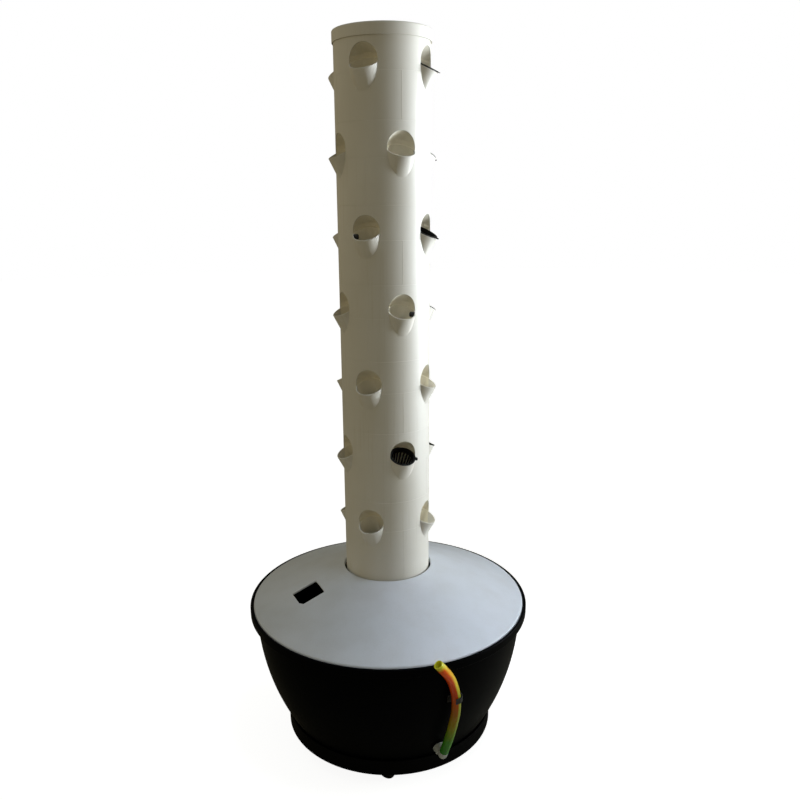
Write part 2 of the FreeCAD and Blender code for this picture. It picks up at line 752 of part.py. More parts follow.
def pump_body():
    """Pump housing with the rotor chamber in its front and the water way up to its top."""
    block = rounded_block(PUMP_WIDTH, PUMP_LENGTH, PUMP_HEIGHT, PUMP_CORNER, PUMP_FLOOR)
    axis = chamber_axis()
    chamber = cylinder(PUMP_CHAMBER_RADIUS, PUMP_CHAMBER_DEPTH, axis, Y_AXIS)
    shaft_seat = cylinder(
        PUMP_SHAFT_RADIUS + RUNNING_GAP, PUMP_CHAMBER_DEPTH + PUMP_SHAFT_SEAT, axis, Y_AXIS)
    above_chamber = FreeCAD.Vector(0, axis.y + PUMP_CHAMBER_DEPTH / 2.0, axis.z)
    gallery_height = PUMP_TOP - PUMP_WAY_DEPTH
    rise = cylinder(PUMP_WAY_RADIUS, gallery_height - axis.z, above_chamber)
    gallery = cylinder(
        PUMP_WAY_RADIUS, -above_chamber.y,
        FreeCAD.Vector(0, above_chamber.y, gallery_height), Y_AXIS)
    outlet = cylinder(PUMP_WAY_RADIUS, PUMP_WAY_DEPTH, FreeCAD.Vector(0, 0, gallery_height))
    gland_seat = cylinder(
        GLAND_RADIUS, GLAND_LENGTH / 2.0,
        FreeCAD.Vector(0, (PUMP_LENGTH - GLAND_LENGTH) / 2.0, axis.z), Y_AXIS)
    return block.cut([chamber, shaft_seat, rise, gallery, outlet, gland_seat])


def pump_cover():
    """Front cover with the intake slots."""
    width = PUMP_WIDTH - 2.0 * PUMP_COVER_INSET
    height = PUMP_HEIGHT - 2.0 * PUMP_COVER_INSET
    front = chamber_axis().y - PUMP_COVER
    low = PUMP_FLOOR + PUMP_COVER_INSET
    shell = Part.makeBox(width, PUMP_COVER, height, FreeCAD.Vector(-width / 2.0, front, low))
    shell = shell.makeFillet(
        PUMP_COVER - PUMP_COVER_WALL,
        [edge for edge in shell.Edges if abs(edge.BoundBox.YMax - front) < SAME_PLACE])
    hollow = Part.makeBox(
        width - 2.0 * PUMP_COVER, PUMP_COVER, height - 2.0 * PUMP_COVER,
        FreeCAD.Vector(-width / 2.0 + PUMP_COVER, front + PUMP_COVER_WALL, low + PUMP_COVER))
    span = PUMP_GRILLE_PITCH * (PUMP_GRILLE_SLOTS - 1)
    slots = []
    for index in range(PUMP_GRILLE_SLOTS):
        across = index * PUMP_GRILLE_PITCH - span / 2.0
        slots.append(Part.makeBox(
            PUMP_GRILLE_SLOT_WIDTH, PUMP_COVER, height / 2.0,
            FreeCAD.Vector(across - PUMP_GRILLE_SLOT_WIDTH / 2.0,
                           front - PUMP_COVER_WALL, low + height / 4.0)))
    return shell.cut([hollow] + slots)


def pump_shaft():
    """Fixed steel shaft that the rotor turns on."""
    start = chamber_axis() + FreeCAD.Vector(0, PUMP_SHAFT_END_GAP, 0)
    length = PUMP_CHAMBER_DEPTH + PUMP_SHAFT_SEAT - 2.0 * PUMP_SHAFT_END_GAP
    return cylinder(PUMP_SHAFT_RADIUS, length, start, Y_AXIS)


def pump_impeller():
    """Bladed rotor in the chamber."""
    start = chamber_axis() + FreeCAD.Vector(
        0, PUMP_CHAMBER_DEPTH - IMPELLER_LENGTH - IMPELLER_BACK_GAP, 0)
    hub = cylinder(IMPELLER_HUB, IMPELLER_LENGTH, start, Y_AXIS)
    back = cylinder(
        IMPELLER_RADIUS, IMPELLER_BLADE,
        start + FreeCAD.Vector(0, IMPELLER_LENGTH - IMPELLER_BLADE, 0), Y_AXIS)
    blades = []
    for index in range(IMPELLER_BLADES):
        blade = Part.makeBox(
            IMPELLER_RADIUS, IMPELLER_LENGTH, IMPELLER_BLADE,
            FreeCAD.Vector(0, start.y, start.z - IMPELLER_BLADE / 2.0))
        blade.rotate(start, Y_AXIS, index * 360.0 / IMPELLER_BLADES)
        blades.append(blade)
    wheel = hub.fuse([back] + blades)
    bore = cylinder(PUMP_SHAFT_RADIUS + RUNNING_GAP, IMPELLER_LENGTH, start, Y_AXIS)
    return wheel.cut(bore).removeSplitter()


def pump_outlet():
    """Stepped nipple that carries the water pipe."""
    outer = RISER_RADIUS - RISER_WALL - BARB_GAP
    bore = outer - NIPPLE_WALL
    collar = tube(RISER_RADIUS + RISER_WALL, bore, NIPPLE_COLLAR, FreeCAD.Vector(0, 0, PUMP_TOP))
    stub = tube(outer, bore, NIPPLE_LENGTH, FreeCAD.Vector(0, 0, PUMP_TOP + NIPPLE_COLLAR))
    return joined(collar, [stub])


def pump_feet():
    """Four rubber suckers under the pump, a group of separate solids."""
    foot = turned((0.0, PUMP_FLOOR), [
        (PUMP_FOOT_NECK, PUMP_FLOOR),
        (PUMP_FOOT_NECK, PUMP_FLOOR - PUMP_FOOT_HEIGHT / 2.0),
        (PUMP_FOOT_RADIUS, TANK_INSIDE),
        (PUMP_FOOT_RADIUS - PUMP_FOOT_LIP, TANK_INSIDE),
        (0.0, TANK_INSIDE + PUMP_FOOT_HOLLOW),
    ])
    feet = []
    for x_side in (-1, 1):
        for y_side in (-1, 1):
            copy = foot.copy()
            copy.translate(FreeCAD.Vector(
                x_side * PUMP_FOOT_SPREAD, y_side * PUMP_FOOT_SPREAD, 0))
            feet.append(copy)
    return Part.makeCompound(feet)


def pump_gland():
    """Cable inlet in the pump's back."""
    start = FreeCAD.Vector(0, (PUMP_LENGTH - GLAND_LENGTH) / 2.0, chamber_axis().z)
    return tube(GLAND_RADIUS, GLAND_BORE, GLAND_LENGTH, start, Y_AXIS)


# Dish and casters

def dish_radius():
    """Inner radius of the dish's lip, clear of the tank's wall."""
    return tank_radius(TANK_FLOOR + DISH_LIP_RISE) + DISH_CLEARANCE


def caster_dish():
    """Round dish that the tank stands in, with ribs and stem bosses underneath."""
    inner = dish_radius()
    outer = inner + DISH_LIP_WALL
    low = DISH_UNDERSIDE - DISH_LIP_DROP
    high = TANK_FLOOR + DISH_LIP_RISE
    lip_round = DISH_LIP_WALL / 2.0
    lip = (inner + lip_round, high - lip_round)
    body = turned((0.0, DISH_UNDERSIDE), [
        (inner, DISH_UNDERSIDE),
        (inner, low),
        (outer, low),
        (outer, high - lip_round),
        quarter(lip, lip_round, 0, 180),
        (inner, TANK_FLOOR),
        (0.0, TANK_FLOOR),
    ])
    boss = cylinder(
        BOSS_RADIUS, BOSS_HEIGHT + DISH_PLATE / 2.0,
        FreeCAD.Vector(CASTER_RING, 0, DISH_UNDERSIDE - BOSS_HEIGHT))
    rib = Part.makeBox(
        inner, DISH_RIB_WIDTH, BOSS_HEIGHT + DISH_PLATE / 2.0,
        FreeCAD.Vector(0, -DISH_RIB_WIDTH / 2.0, DISH_UNDERSIDE - BOSS_HEIGHT))
    hole = cylinder(
        STEM_RADIUS + RUNNING_GAP, STEM_LENGTH + STEM_END_GAP,
        FreeCAD.Vector(CASTER_RING, 0, DISH_UNDERSIDE - BOSS_HEIGHT))
    body = body.fuse(
        around(boss, CASTER_COUNT, CASTER_FIRST_ANGLE) + around(rib, CASTER_COUNT, CASTER_FIRST_ANGLE))
    return body.cut(around(hole, CASTER_COUNT, CASTER_FIRST_ANGLE)).removeSplitter()


def caster_fork():
    """Fork about its stem's axis, the wheel trailing towards +X."""
    inside = WHEEL_WIDTH / 2.0 + WHEEL_CLEARANCE
    crown_low = CROWN_TOP - FORK_CROWN
    crown = cylinder(FORK_CROWN_RADIUS, FORK_CROWN, FreeCAD.Vector(0, 0, crown_low))
    stem = cylinder(STEM_RADIUS, SEAT_GAP + STEM_LENGTH, FreeCAD.Vector(0, 0, CROWN_TOP))
    reach = math.sqrt(FORK_CROWN_RADIUS ** 2 - inside ** 2)
    eye = FORK_EYE_RADIUS
    leg_face = outline((-reach, CROWN_TOP), [
        (reach, CROWN_TOP),
        (WHEEL_TRAIL + eye, AXLE_HEIGHT),
        ((WHEEL_TRAIL, AXLE_HEIGHT - eye), (WHEEL_TRAIL - eye, AXLE_HEIGHT)),
    ])
    legs = []
    for start in (inside, -inside - FORK_PLATE):
        leg = leg_face.extrude(FreeCAD.Vector(0, FORK_PLATE, 0))
        leg.translate(FreeCAD.Vector(0, start, 0))
        legs.append(leg)
    width = 2.0 * (inside + FORK_PLATE)
    bridge = Part.makeBox(
        2.0 * reach, width, FORK_CROWN, FreeCAD.Vector(-reach, -width / 2.0, crown_low))
    hole = cylinder(
        AXLE_RADIUS, 2.0 * width, FreeCAD.Vector(WHEEL_TRAIL, -width, AXLE_HEIGHT), Y_AXIS)
    return crown.fuse([stem, bridge] + legs).cut(hole).removeSplitter()


def caster_axle():
    """Headed pin through the fork and the wheel."""
    half = WHEEL_WIDTH / 2.0 + WHEEL_CLEARANCE + FORK_PLATE
    base = FreeCAD.Vector(WHEEL_TRAIL, -half, AXLE_HEIGHT)
    pin = cylinder(AXLE_RADIUS, 2.0 * half, base, Y_AXIS)
    heads = [
        cylinder(AXLE_HEAD_RADIUS, AXLE_HEAD, base - Y_AXIS * AXLE_HEAD, Y_AXIS),
        cylinder(AXLE_HEAD_RADIUS, AXLE_HEAD, base + Y_AXIS * (2.0 * half), Y_AXIS),
    ]
    return joined(pin, heads)


def caster_wheel():
    """Wheel with a hub, a thin web and a rounded tread."""
    half = WHEEL_WIDTH / 2.0
    bore = AXLE_RADIUS + RUNNING_GAP
    web = WHEEL_WEB / 2.0
    tread = WHEEL_RADIUS - WHEEL_TREAD
    shoulder = WHEEL_EDGE_ROUND
    corner = WHEEL_RADIUS - shoulder
    wheel = turned((bore, -half), [
        (WHEEL_HUB_RADIUS, -half),
        (WHEEL_HUB_RADIUS, -web),
        (tread, -web),
        (tread, -half),
        (corner, -half),
        quarter((corner, -half + shoulder), shoulder, -90, 0),
        (WHEEL_RADIUS, half - shoulder),
        quarter((corner, half - shoulder), shoulder, 0, 90),
        (tread, half),
        (tread, web),
        (WHEEL_HUB_RADIUS, web),
        (WHEEL_HUB_RADIUS, half),
        (bore, half),
    ])
    turn = FreeCAD.Rotation(X_AXIS, 90)
    return placed(wheel, FreeCAD.Vector(WHEEL_TRAIL, 0, AXLE_HEIGHT), turn)


def casters():
    """The four casters by name, each turned as it came to rest."""
    parts = {"fork": caster_fork(), "axle": caster_axle(), "wheel": caster_wheel()}
    pieces = {}
    for index in range(CASTER_COUNT):
        angle = CASTER_FIRST_ANGLE + index * 360.0 / CASTER_COUNT
        turn = math.radians(angle)
        position = FreeCAD.Vector(CASTER_RING * math.cos(turn), CASTER_RING * math.sin(turn), 0)
        trail = FreeCAD.Rotation(Z_AXIS, angle + CASTER_TURNS[index % len(CASTER_TURNS)])
        for name, shape in parts.items():
            pieces["caster_%s_%d" % (name, index + 1)] = placed(shape, position, trail)
    return pieces


# Level hose and its fittings

def hose_gasket():
    """Rubber washer between the pad and the fitting's flange."""
    face = FITTING_POINT + FITTING_OUT * BOSS_PAD
    return tube(
        FLANGE_RADIUS - GASKET_INSET, STUB_RADIUS + RUNNING_GAP, GASKET_THICKNESS, face, FITTING_OUT)


def hose_fitting():
    """Tank fitting: threaded stub through the wall, flange and the nose that the elbow turns on."""
    out = FITTING_OUT
    face = FITTING_POINT + out * (BOSS_PAD + GASKET_THICKNESS)
    inside = 2.0 * BOSS_PAD + TANK_WALL + GASKET_THICKNESS + LOCKNUT_THICKNESS + STUB_END
    stub = cylinder(STUB_RADIUS, inside, face - out * inside, out)
    flange = cylinder(FLANGE_RADIUS, FLANGE_THICKNESS, face, out)
    nose = cylinder(NOSE_RADIUS, NOSE_LENGTH, face + out * FLANGE_THICKNESS, out)
    bore = cylinder(
        STUB_BORE, inside + FLANGE_THICKNESS + NOSE_LENGTH, face - out * inside, out)
    return stub.fuse([flange, nose]).cut(bore).removeSplitter()


def hose_locknut():
    """Hexagonal nut on the stub, inside the tank."""
    radius = LOCKNUT_ACROSS_FLATS / 2.0 / math.cos(math.pi / LOCKNUT_SIDES)
    corners = []
    for index in range(LOCKNUT_SIDES):
        turn = math.radians(index * 360.0 / LOCKNUT_SIDES)
        corners.append(FreeCAD.Vector(radius * math.cos(turn), radius * math.sin(turn), 0))
    face = Part.Face(Part.makePolygon(corners + corners[:1]))
    nut = face.extrude(FreeCAD.Vector(0, 0, LOCKNUT_THICKNESS))
    nut = nut.cut(cylinder(STUB_RADIUS + RUNNING_GAP, LOCKNUT_THICKNESS))
    start = FITTING_POINT - FITTING_OUT * (TANK_WALL + BOSS_PAD + LOCKNUT_THICKNESS)
    return placed(nut, start, FreeCAD.Rotation(Z_AXIS, FITTING_OUT))


def hose_elbow():
    """Swivel elbow with a collar over the nose and a barb for the hose."""
    out = FITTING_OUT
    up = FITTING_UP
    flange_face = BOSS_PAD + GASKET_THICKNESS + FLANGE_THICKNESS
    start = FITTING_POINT + out * (flange_face + SEAT_GAP)
    length = ELBOW_REACH - flange_face - SEAT_GAP
    shoulder = ELBOW_CENTRE + up * ELBOW_RISE
    arm = cylinder(ELBOW_RADIUS, length, start, out)
    collar = cylinder(ELBOW_COLLAR_RADIUS, ELBOW_COLLAR, start, out)
    knee = Part.makeSphere(ELBOW_RADIUS, ELBOW_CENTRE)
    riser = cylinder(ELBOW_RADIUS, ELBOW_RISE, ELBOW_CENTRE, up)
    barb_radius = HOSE_RADIUS - HOSE_WALL - BARB_GAP
    barb = cylinder(barb_radius - BARB_RIDGE, BARB_LENGTH, shoulder, up)
    gaps = BARB_RIDGES + 1
    pitch = BARB_LENGTH / gaps
    ridges = []
    for index in range(1, gaps):
        base = shoulder + up * (index * pitch)
        ridges.append(Part.makeCone(barb_radius, barb_radius - BARB_RIDGE, pitch / 2.0, base, up))
    socket = cylinder(NOSE_RADIUS + RUNNING_GAP, NOSE_LENGTH, start, out)
    way_in = cylinder(STUB_BORE, length, start, out)
    bend = Part.makeSphere(STUB_BORE, ELBOW_CENTRE)
    way_up = cylinder(STUB_BORE, ELBOW_RISE + BARB_LENGTH, ELBOW_CENTRE, up)
    body = arm.fuse([collar, knee, riser, barb] + ridges)
    return body.cut([socket, way_in, bend, way_up]).removeSplitter()


def hose_points():
    """Corners of the hose's centre line, from the elbow's shoulder to the open end."""
    start = ELBOW_CENTRE + FITTING_UP * ELBOW_RISE
    points = [start, start + FITTING_UP * HOSE_FIRST_RUN]
    for angle, stand_off, rise in HOSE_ROUTE:
        height = TANK_FLOOR + rise
        reach = tank_radius(min(height, LEDGE_HEIGHT)) + stand_off
        turn = math.radians(angle)
        points.append(FreeCAD.Vector(reach * math.cos(turn), reach * math.sin(turn), height))
    return points


def hose_path():
    """Straight runs joined by tangent arcs as large as the runs allow."""
    points = hose_points()
    edges = []
    here = points[0]
    length = 0.0
    for before, corner, after in zip(points, points[1:], points[2:]):
        run_in = (corner - before).normalize()
        run_out = (after - corner).normalize()
        turn = run_in.getAngle(run_out)
        setback = HOSE_BEND_SHARE * min(before.distanceToPoint(corner), corner.distanceToPoint(after))
        radius = setback / math.tan(turn / 2.0)
        print("hose bend radius %.0f mm" % radius)
        first = corner - run_in * setback
        last = corner + run_out * setback
        inward = (run_out - run_in).normalize()
        middle = corner + inward * (radius / math.cos(turn / 2.0) - radius)
        edges.append(Part.LineSegment(here, first).toShape())
        edges.append(Part.Arc(first, middle, last).toShape())
        length += here.distanceToPoint(first) + radius * turn
        here = last
    edges.append(Part.LineSegment(here, points[-1]).toShape())
    length += here.distanceToPoint(points[-1])
    return Part.Wire(edges), length


def level_hose():
    """Open-ended hose: a bored tube along its path."""
    path, length = hose_path()
    points = hose_points()
    along = points[1] - points[0]
    solids = []
    for radius in (HOSE_RADIUS, HOSE_RADIUS - HOSE_WALL):
        section_wire = Part.Wire(Part.makeCircle(radius, points[0], along))
        solids.append(path.makePipeShell([section_wire], True, False))
    hose = solids[0].cut(solids[1])
    area = math.pi * (HOSE_RADIUS ** 2 - (HOSE_RADIUS - HOSE_WALL) ** 2)
    print("hose length %.1f mm, volume over section times length %.4f" % (
        length, hose.Volume / (area * length)))
    return hose


def clip_centre():
    """Point on the hose that the clip holds, and the hose's direction there."""
    height = TANK_FLOOR + CLIP_HEIGHT
    points = hose_points()
    for low, high in zip(points, points[1:]):
        if high.z > height:
            break
    run = high - low
    return low + run * ((height - low.z) / run.z), run.normalize()


def in_frame(shape, across, away, along, centre):
    """Copy of a shape with its X, Y and Z turned to three directions, about a centre."""
    copy = shape.copy()
    frame = FreeCAD.Placement(FreeCAD.Matrix(
        across.x, away.x, along.x, centre.x,
        across.y, away.y, along.y, centre.y,
        across.z, away.z, along.z, centre.z,
        0, 0, 0, 1))
    copy.Placement = frame.multiply(shape.Placement)
    return copy


def hose_clip():
    """Open clip on the tank's wall: the hose leaves it sideways as the elbow turns."""
    centre, along = clip_centre()
    radial = FreeCAD.Vector(centre.x, centre.y, 0).normalize()
    away = (radial - along * radial.dot(along)).normalize()
    across = away.cross(along).normalize()
    inner = HOSE_RADIUS + CLIP_GAP
    outer = inner + CLIP_WALL
    ring = outline((0.0, inner), [
        ((-inner, 0.0), (0.0, -inner)),
        (inner - CLIP_MOUTH, -inner),
        (inner - CLIP_MOUTH, -outer),
        (0.0, -outer),
        ((-outer, 0.0), (0.0, outer)),
        (inner - CLIP_MOUTH, outer),
        (inner - CLIP_MOUTH, inner),
    ]).extrude(FreeCAD.Vector(0, CLIP_LENGTH, 0))
    ring.rotate(ORIGIN, X_AXIS, 90)
    ring.translate(FreeCAD.Vector(0, 0, CLIP_LENGTH / 2.0))
    ring = in_frame(ring, across, away, along, centre)
    lean = wall_lean(centre.z)
    out = radial * math.cos(lean) - Z_AXIS * math.sin(lean)
    up = radial * math.sin(lean) + Z_AXIS * math.cos(lean)
    wall_point = radial * tank_radius(centre.z) + Z_AXIS * centre.z
    plate = Part.makeBox(
        2.0 * outer - CLIP_WALL, CLIP_WALL, CLIP_LENGTH + 2.0 * CLIP_WALL,
        FreeCAD.Vector(-outer, SEAT_GAP, -CLIP_LENGTH / 2.0 - CLIP_WALL))
    plate = in_frame(plate, out.cross(up), out, up, wall_point)
    reach = centre.distanceToPoint(wall_point) - SEAT_GAP - CLIP_WALL / 2.0
    stem = Part.makeBox(
        outer, reach - inner - CLIP_WALL / 2.0, CLIP_LENGTH,
        FreeCAD.Vector(-outer / 2.0, -reach, -CLIP_LENGTH / 2.0))
    stem = in_frame(stem, across, away, along, centre)
    return joined(ring, [plate, stem])


def build():
    """Every piece by node name."""
    pieces = {
        "column_cap": column_cap(),
        "water_tray": water_tray(),
        "riser_pipe": riser_pipe(),
        "column_stand": column_stand(),
        "tank": tank(),
        "tank_lid": lid(),
        "caster_dish": caster_dish(),
        "pump_body": pump_body(),
        "pump_cover": pump_cover(),
        "pump_shaft": pump_shaft(),
        "pump_impeller": pump_impeller(),
        "pump_outlet": pump_outlet(),
        "pump_feet": pump_feet(),
        "pump_gland": pump_gland(),
        "hose_gasket": hose_gasket(),
        "hose_fitting": hose_fitting(),
        "hose_locknut": hose_locknut(),
        "hose_elbow": hose_elbow(),
        "level_hose": level_hose(),
        "hose_clip": hose_clip(),
    }
    pieces.update(column_sections())
    pieces.update(net_cups())
    pieces.update(casters())
    return pieces


os.makedirs("parts", exist_ok=True)
for name, shape in sorted(build().items()):
    assert shape.isValid(), name
    shape.exportStep("parts/%s.step" % name)
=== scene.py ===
"""Vertical planter tower, dressed for rendering.

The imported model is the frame: metres, +Z up, the column's axis on Z, the floor at Z = 0 and the front
towards -Y. Sizes in the classes below are millimetres and angles are degrees, as on the drawing.
"""

import json
import logging
import math
from dataclasses import dataclass, field
from enum import Enum
from typing import ClassVar, Sequence, Union

import bmesh
import bpy
from mathutils import Matrix, Vector


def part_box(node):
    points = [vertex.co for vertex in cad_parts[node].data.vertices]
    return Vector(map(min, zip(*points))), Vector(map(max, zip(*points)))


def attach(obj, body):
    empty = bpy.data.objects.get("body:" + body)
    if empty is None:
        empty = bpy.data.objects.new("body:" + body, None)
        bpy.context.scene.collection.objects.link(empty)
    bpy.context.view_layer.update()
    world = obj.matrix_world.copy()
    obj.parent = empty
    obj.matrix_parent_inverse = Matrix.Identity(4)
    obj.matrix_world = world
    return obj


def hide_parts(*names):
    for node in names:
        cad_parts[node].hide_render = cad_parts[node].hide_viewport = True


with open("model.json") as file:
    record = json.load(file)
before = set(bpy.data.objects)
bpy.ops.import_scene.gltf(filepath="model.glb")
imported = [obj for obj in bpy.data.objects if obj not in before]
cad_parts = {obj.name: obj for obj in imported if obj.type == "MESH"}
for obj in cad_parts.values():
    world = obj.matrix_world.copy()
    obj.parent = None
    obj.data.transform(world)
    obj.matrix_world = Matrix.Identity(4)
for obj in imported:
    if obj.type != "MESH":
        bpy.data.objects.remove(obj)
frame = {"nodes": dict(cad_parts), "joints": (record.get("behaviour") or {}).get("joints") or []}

MM = 0.001
NEAR = 1e-6
FULL_TURN = 2.0 * math.pi
CREASE = 32.0
LOG = logging.getLogger("planter_tower")
Colour = tuple[float, float, float]
Point = tuple[float, float]
Corner = tuple[float, ...]
Socket = bpy.types.NodeSocket
Fed = Union[Socket, float, Sequence[float]]


# Places

def turn(angle: float, axis: str = "Z") -> Matrix:
    """Rotation by an angle in degrees about an axis."""
    return Matrix.Rotation(math.radians(angle), 4, axis)


def shift(x: float, y: float, z: float) -> Matrix:
    """Move by millimetres."""
    return Matrix.Translation((x * MM, y * MM, z * MM))


def lowest(node: str) -> float:
    """Lowest height of a frame node in millimetres."""
    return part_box(node)[0].z / MM


def highest(node: str) -> float:
    """Highest height of a frame node in millimetres."""
    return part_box(node)[1].z / MM


# Mesh tools

def flat_end(corner: Vector, side: Vector, setback: float, radius: float) -> Point:
    """Point on a flat just past the end of a corner's arc.

    It keeps the smooth shading of the flat level.

    Args:
        corner: The corner before it was rounded.
        side: Way from the corner to the outline's next corner on this side.
        setback: Distance from the corner to the arc's end.
        radius: Radius of the arc.

    Returns:
        The point.
    """
    arc_share, room_share = 0.5, 0.3
    room = 0.5 * side.length - setback
    past = min(arc_share * radius, room_share * room)
    place = corner + side.normalized() * (setback + past)
    return place.x, place.y


def rounded(corners: Sequence[Corner], steps: int = 5) -> list[Point]:
    """Rounds the corners of a closed outline.

    Args:
        corners: Points (r, z) or (r, z, radius) in order around the outline.
        steps: Segments in each rounded corner.

    Returns:
        The outline's points with an arc at each corner that has a radius.
    """
    points: list[Point] = []
    arc_share = 0.49
    for index, corner in enumerate(corners):
        here = Vector(corner[:2])
        radius = corner[2] if len(corner) > 2 else 0.0
        back = Vector(corners[index - 1][:2]) - here
        ahead = Vector(corners[(index + 1) % len(corners)][:2]) - here
        if radius <= 0.0 or back.length < NEAR or ahead.length < NEAR:
            points.append((here.x, here.y))
            continue
        half = back.angle(ahead) / 2.0
        setback = min(radius / math.tan(half), arc_share * back.length, arc_share * ahead.length)
        radius = setback * math.tan(half)
        inwards = (back.normalized() + ahead.normalized()).normalized()
        centre = here + inwards * (radius / math.sin(half))
        first = here + back.normalized() * setback - centre
        last = here + ahead.normalized() * setback - centre
        start = math.atan2(first.y, first.x)
        sweep = math.atan2(last.y, last.x) - start
        sweep = (sweep + math.pi) % FULL_TURN - math.pi
        points.append(flat_end(here, back, setback, radius))
        for step in range(steps + 1):
            angle = start + sweep * step / steps
            points.append((centre.x + radius * math.cos(angle), centre.y + radius * math.sin(angle)))
        points.append(flat_end(here, ahead, setback, radius))
    return points


def circle(radius: float, segments: int) -> list[Point]:
    """Points of a circle about the origin."""
    turns = [FULL_TURN * index / segments for index in range(segments)]
    return [(radius * math.cos(angle), radius * math.sin(angle)) for angle in turns]


def creased(mesh: bpy.types.Mesh, crease: float = CREASE) -> bpy.types.Mesh:
    """Shades a mesh smooth and keeps its edges past an angle sharp.

    Args:
        mesh: The mesh to shade.
        crease: Angle in degrees.

    Returns:
        The same mesh.
    """
    shape = bmesh.new()
    shape.from_mesh(mesh)
    limit = math.radians(crease)
    for face in shape.faces:
        face.smooth = True
    for edge in shape.edges:
        edge.smooth = len(edge.link_faces) == 2 and edge.calc_face_angle(math.pi) < limit
    return filled(mesh, shape)


def filled(mesh: bpy.types.Mesh, shape: bmesh.types.BMesh) -> bpy.types.Mesh:
    """Writes a shape into a mesh and frees the shape.

    Args:
        mesh: The mesh to fill.
        shape: The shape.

    Returns:
        The same mesh.
    """
    shape.to_mesh(mesh)
    shape.free()
    return mesh


def to_mesh(shape: bmesh.types.BMesh, name: str, crease: float = CREASE) -> bpy.types.Mesh:
    """Cleans a shape and makes it a smooth-shaded mesh.

    Args:
        shape: The shape, which is freed.
        name: Name of the mesh.
        crease: Angle in degrees past which an edge stays sharp.

    Returns:
        The mesh, its faces pointing outwards.
    """
    bmesh.ops.remove_doubles(shape, verts=shape.verts, dist=NEAR)
    bmesh.ops.recalc_face_normals(shape, faces=shape.faces)
    return creased(filled(bpy.data.meshes.new(name), shape), crease)


def lathe(outline: Sequence[Point], segments: int, name: str, crease: float = CREASE) -> bpy.types.Mesh:
    """Solid of revolution about Z.

    Args:
        outline: Closed outline (r, z) in millimetres; points with r = 0 are poles.
        segments: Steps around the axis.
        name: Name of the mesh.
        crease: Angle past which an edge stays sharp.

    Returns:
        The closed mesh in metres.
    """
    shape = bmesh.new()
    rings = []
    for radius, height in outline:
        places = circle(radius * MM, segments) if radius >= NEAR else [(0.0, 0.0)]
        rings.append([shape.verts.new((x, y, height * MM)) for x, y in places])
    for low, high in zip(rings, rings[1:] + rings[:1]):
        if len(low) == 1 and len(high) == 1:
            continue
        for index in range(segments):
            after = (index + 1) % segments
            corners = [low[index % len(low)], low[after % len(low)],
                       high[after % len(high)], high[index % len(high)]]
            face = list(dict.fromkeys(corners))
            if len(face) > 2:
                shape.faces.new(face)
    return to_mesh(shape, name, crease)


def slab(outline: Sequence[Point], low: float, high: float, name: str) -> bpy.types.Mesh:
    """Flat plate of an outline in XY between two heights.

    Args:
        outline: Closed outline (x, y) in millimetres.
        low: Lower face in millimetres.
        high: Upper face in millimetres.
        name: Name of the mesh.

    Returns:
        The closed mesh in metres.
    """
    shape = bmesh.new()
    face = shape.faces.new([shape.verts.new((x * MM, y * MM, low * MM)) for x, y in outline])
    made = bmesh.ops.extrude_face_region(shape, geom=[face])
    raised = [part for part in made["geom"] if isinstance(part, bmesh.types.BMVert)]
    bmesh.ops.translate(shape, verts=raised, vec=(0.0, 0.0, (high - low) * MM))
    return to_mesh(shape, name)


def leaning_rod(radius: float, low: float, reach: Point, segments: int, name: str) -> bpy.types.Mesh:
    """Round bar with level ends whose upper end is shifted along X.

    Args:
        radius: Radius of the ends in millimetres.
        low: Height of the lower end.
        reach: Shift along X and rise along Z of the upper end.
        segments: Steps around the bar.
        name: Name of the mesh.

    Returns:
        The closed mesh in metres.
    """
    mesh = slab(circle(radius, segments), low, low + reach[1], name)
    for vertex in mesh.vertices:
        if vertex.co.z > (low + reach[1] / 2.0) * MM:
            vertex.co.x += reach[0] * MM
    return mesh


def moved(mesh: bpy.types.Mesh, place: Matrix) -> bpy.types.Mesh:
    """Copies a mesh to another place.

    Args:
        mesh: The mesh, which stays as it is.
        place: Where the copy goes.

    Returns:
        The copy.
    """
    copy = mesh.copy()
    copy.transform(place)
    return copy


def shown(mesh: bpy.types.Mesh, name: str) -> bpy.types.Object:
    """Makes an object at the origin that shows a mesh.

    Args:
        mesh: The mesh.
        name: Name of the object.

    Returns:
        The object, linked to the scene.
    """
    thing = bpy.data.objects.new(name, mesh)
    bpy.context.scene.collection.objects.link(thing)
    return thing


def evaluated(thing: bpy.types.Object) -> bpy.types.Mesh:
    """Turns an object with its modifiers into a plain mesh.

    Args:
        thing: The object, which is removed.

    Returns:
        The mesh.
    """
    graph = bpy.context.evaluated_depsgraph_get()
    mesh = bpy.data.meshes.new_from_object(
        thing.evaluated_get(graph), preserve_all_data_layers=True, depsgraph=graph)
    bpy.data.objects.remove(thing)
    return mesh


def eased(mesh: bpy.types.Mesh, width: float) -> bpy.types.Mesh:
    """Rounds the sharp edges of a mesh.

    Args:
        mesh: The mesh.
        width: Width of the rounding in millimetres.

    Returns:
        The rounded mesh.
    """
    sharp_angle, shading_angle = 35.0, 40.0
    thing = shown(mesh, "easing")
    bevel = thing.modifiers.new("edges", "BEVEL")
    bevel.width = width * MM
    bevel.segments = 2
    bevel.limit_method = "ANGLE"
    bevel.angle_limit = math.radians(sharp_angle)
    return creased(evaluated(thing), shading_angle)


class Join(Enum):
    """How two solids are combined."""

    WELD = "UNION"
    CUT = "DIFFERENCE"
    KEEP = "INTERSECT"


